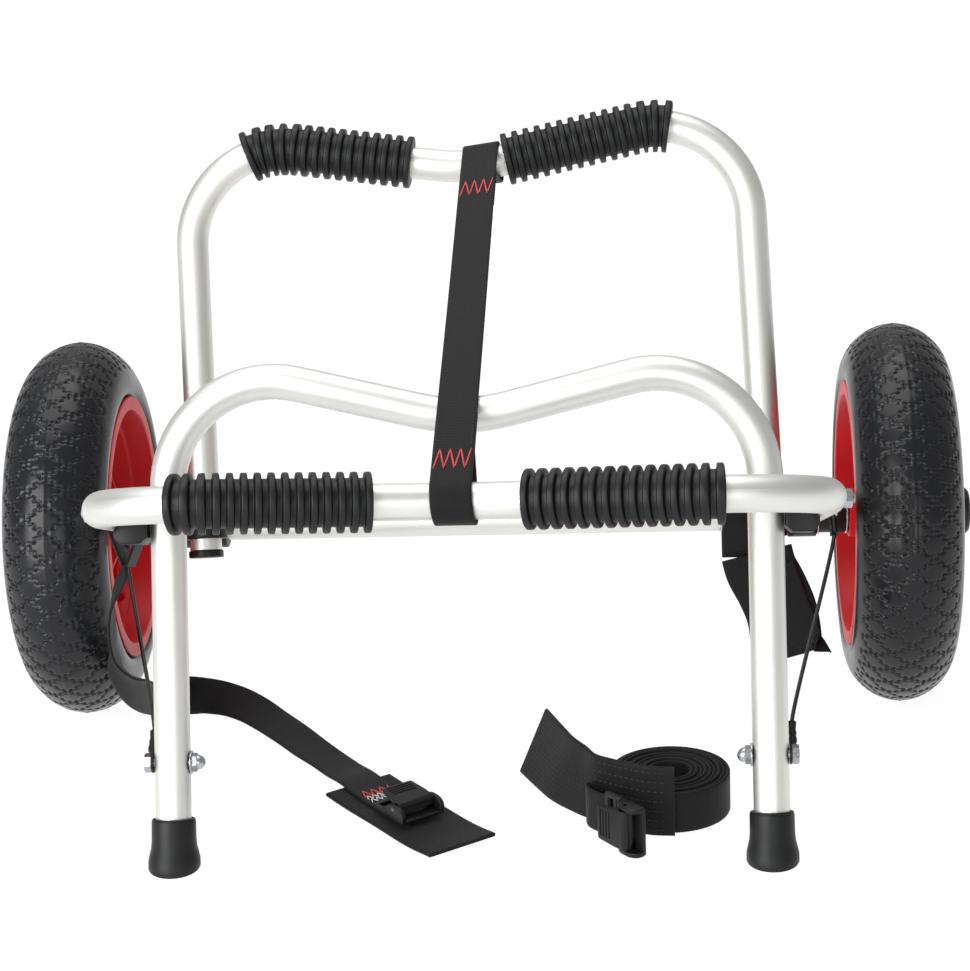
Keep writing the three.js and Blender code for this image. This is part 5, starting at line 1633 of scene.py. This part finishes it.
class CART_OT_buckles(bpy.types.Operator):
    """Makes the two cam buckles: frames with ears, toothed cams with thumb levers, and pins"""

    bl_idname = "cart.buckles"
    bl_label = "Cam buckles"

    def execute(self, context):
        for name, body, along, up, place in (
            ("left", "axle_frame", (0.61, -0.79, 0), (0, 0, 1), (-56, -194, 5.6)),
            ("coil", "loose_strap", (0.62, -0.78, 0), (-0.78, -0.62, 0), (82.5, -239.5, 16.4)),
        ):
            matrix = buckle_matrix(along, up, place)
            self.frame(name, matrix, body)
            self.lever(name, matrix)
            pin = on_plane(BUCKLE_PIN, matrix)
            radius, half = 0.0016, 0.016
            profile = [(0.0, -half), (radius, -half), (radius, half), (0.0, half)]
            skin = Skin().turned(eased(profile, 0.0003, 4, closed=False), 24, pin, ways(matrix)[1])
            show(f"{name}_buckle_pin_steel", skin, "steel", body, f"{name}_buckle_pin")
        return {"FINISHED"}

    def frame(self, name, matrix, body):
        """A base plate behind a sewing bar, and two ears with rounded tops."""
        skin = Skin()
        # The sewing bar's loop: a rounded oblong carried round a rounded oblong.
        near, far, half = 0.0021, 0.0112, 0.0139
        loop = eased([(near, -half), (near, half), (far, half), (far, -half)], 0.003, 8)
        thick, high = 0.0012, 0.0020
        path = on_plane(np.pad(loop, ((0, 0), (0, 1)), constant_values=thick), matrix)
        section = eased(oblong(-thick, thick, -high, high), 0.0008, 4)
        skin.grid(carried(path, ways(matrix)[2], section, closed=True), closed_rows=True)
        side, end, ear = 0.016, 0.038, 0.003
        skin.prism(eased(oblong(0.0095, end, -side, side), 0.0016, 6), 0.0022, matrix, 0.0005)
        outline = eased(
            [(0.0165, 0.0012), (end, 0.0012), (end, 0.0066), (0.0335, 0.010), (0.0215, 0.010)],
            [0.0005, 0.0005, 0.0025, 0.003, 0.005],
            7,
        )
        for start in (-side, side - ear):
            upright = matrix.copy()
            upright[:3, 1], upright[:3, 2] = matrix[:3, 2], -matrix[:3, 1]
            upright[:3, 3] = on_plane(np.array([0.0, start + ear, 0.0]), matrix)
            skin.prism(outline, ear, upright, 0.0005)
        show(f"{name}_buckle_frame_moulded", skin, "plastic", body, f"{name}_buckle_frame")

    def lever(self, name, matrix):
        """A cam with teeth on its lower side, and a plate with thumb ridges, both about the pin."""
        pin = np.array(matrix)
        pin[:3, 3] = on_plane(BUCKLE_PIN, matrix)
        skin = Skin()
        half = 0.0127
        t = np.arange(96) / 96 * FULL_TURN
        low = np.clip(np.cos(t + math.pi / 2 - 0.5), 0, 1)
        radius = 0.0043 - 0.0006 * (low > 0.2) * (0.5 + 0.5 * np.cos(t * 24))
        outline = radius[:, None] * np.stack([np.cos(t), np.sin(t)], -1)
        side = pin.copy()
        side[:3, 1], side[:3, 2] = pin[:3, 2], -pin[:3, 1]
        side[:3, 3] = on_plane(np.array([0.0, half, 0.0]), pin)
        skin.prism(outline, 2 * half, side, 0.0003)
        tilt = np.array(Matrix.Rotation(math.radians(6), 4, "Y"))
        plate = pin @ tilt
        sheet = plate.copy()
        sheet[:3, 3] = on_plane(np.array([0.0, 0.0, 0.0011]), plate)
        tip, neck, back, tip_half = -0.0205, -0.006, 0.001, half - 0.0016
        outline = eased(
            [(tip, -tip_half), (tip, tip_half), (neck, half), (back, half), (back, -half), (neck, -half)],
            [0.0022, 0.0022, 0.001, 0.001, 0.001, 0.001],
            6,
        )
        skin.prism(outline, 0.003, sheet, 0.0007)
        ridge = eased(oblong(-0.0007, 0.0007, -0.0088, 0.0088), 0.0006, 4)
        for place in (-0.0183, -0.0158, -0.0133, -0.0108):
            bar = sheet.copy()
            bar[:3, 3] = on_plane(np.array([place, 0.0, 0.0024]), sheet)
            skin.prism(ridge, 0.0011, bar, 0.0004)
        body = name + "_buckle_lever"
        show(f"{name}_buckle_lever_moulded", skin, "plastic", body, body)


# The add-on


class CART_PT_panel(bpy.types.Panel):
    """Lists the cart's pieces"""

    bl_label = "Kayak Cart"
    bl_idname = "CART_PT_panel"
    bl_space_type = "VIEW_3D"
    bl_region_type = "UI"
    bl_category = "Kayak Cart"

    def draw(self, context):
        for operator in OPERATORS:
            self.layout.operator(operator.bl_idname)


GROUPS = {
    "cart_bars": CartBarSizes,
    "cart_grips": CartGripSizes,
    "cart_wheels": CartWheelSizes,
    "cart_webbing": CartWebbingSizes,
    "cart_colours": CartColours,
}
OPERATORS = (
    CART_OT_stage,
    CART_OT_lanyards,
    CART_OT_bars,
    CART_OT_grips,
    CART_OT_wheels,
    CART_OT_axle_fittings,
    CART_OT_pivots,
    CART_OT_spreader,
    CART_OT_left_strap,
    CART_OT_right_strap,
    CART_OT_loose_strap,
    CART_OT_buckles,
)


def register():
    """Registers the classes and puts the sizes and colours on the scene."""
    for made in (*GROUPS.values(), *OPERATORS, CART_PT_panel):
        bpy.utils.register_class(made)
    for name, group in GROUPS.items():
        setattr(bpy.types.Scene, name, PointerProperty(type=group))


def unregister():
    """Takes them away again."""
    for name in GROUPS:
        delattr(bpy.types.Scene, name)
    for made in (CART_PT_panel, *reversed(OPERATORS), *reversed(GROUPS.values())):
        bpy.utils.unregister_class(made)


def main():
    """Builds the whole cart."""
    register()
    make_finishes(bpy.context.scene.cart_colours)
    for operator in OPERATORS:
        group, name = operator.bl_idname.split(".")
        getattr(getattr(bpy.ops, group), name)()


if __name__ == "__main__":
    main()
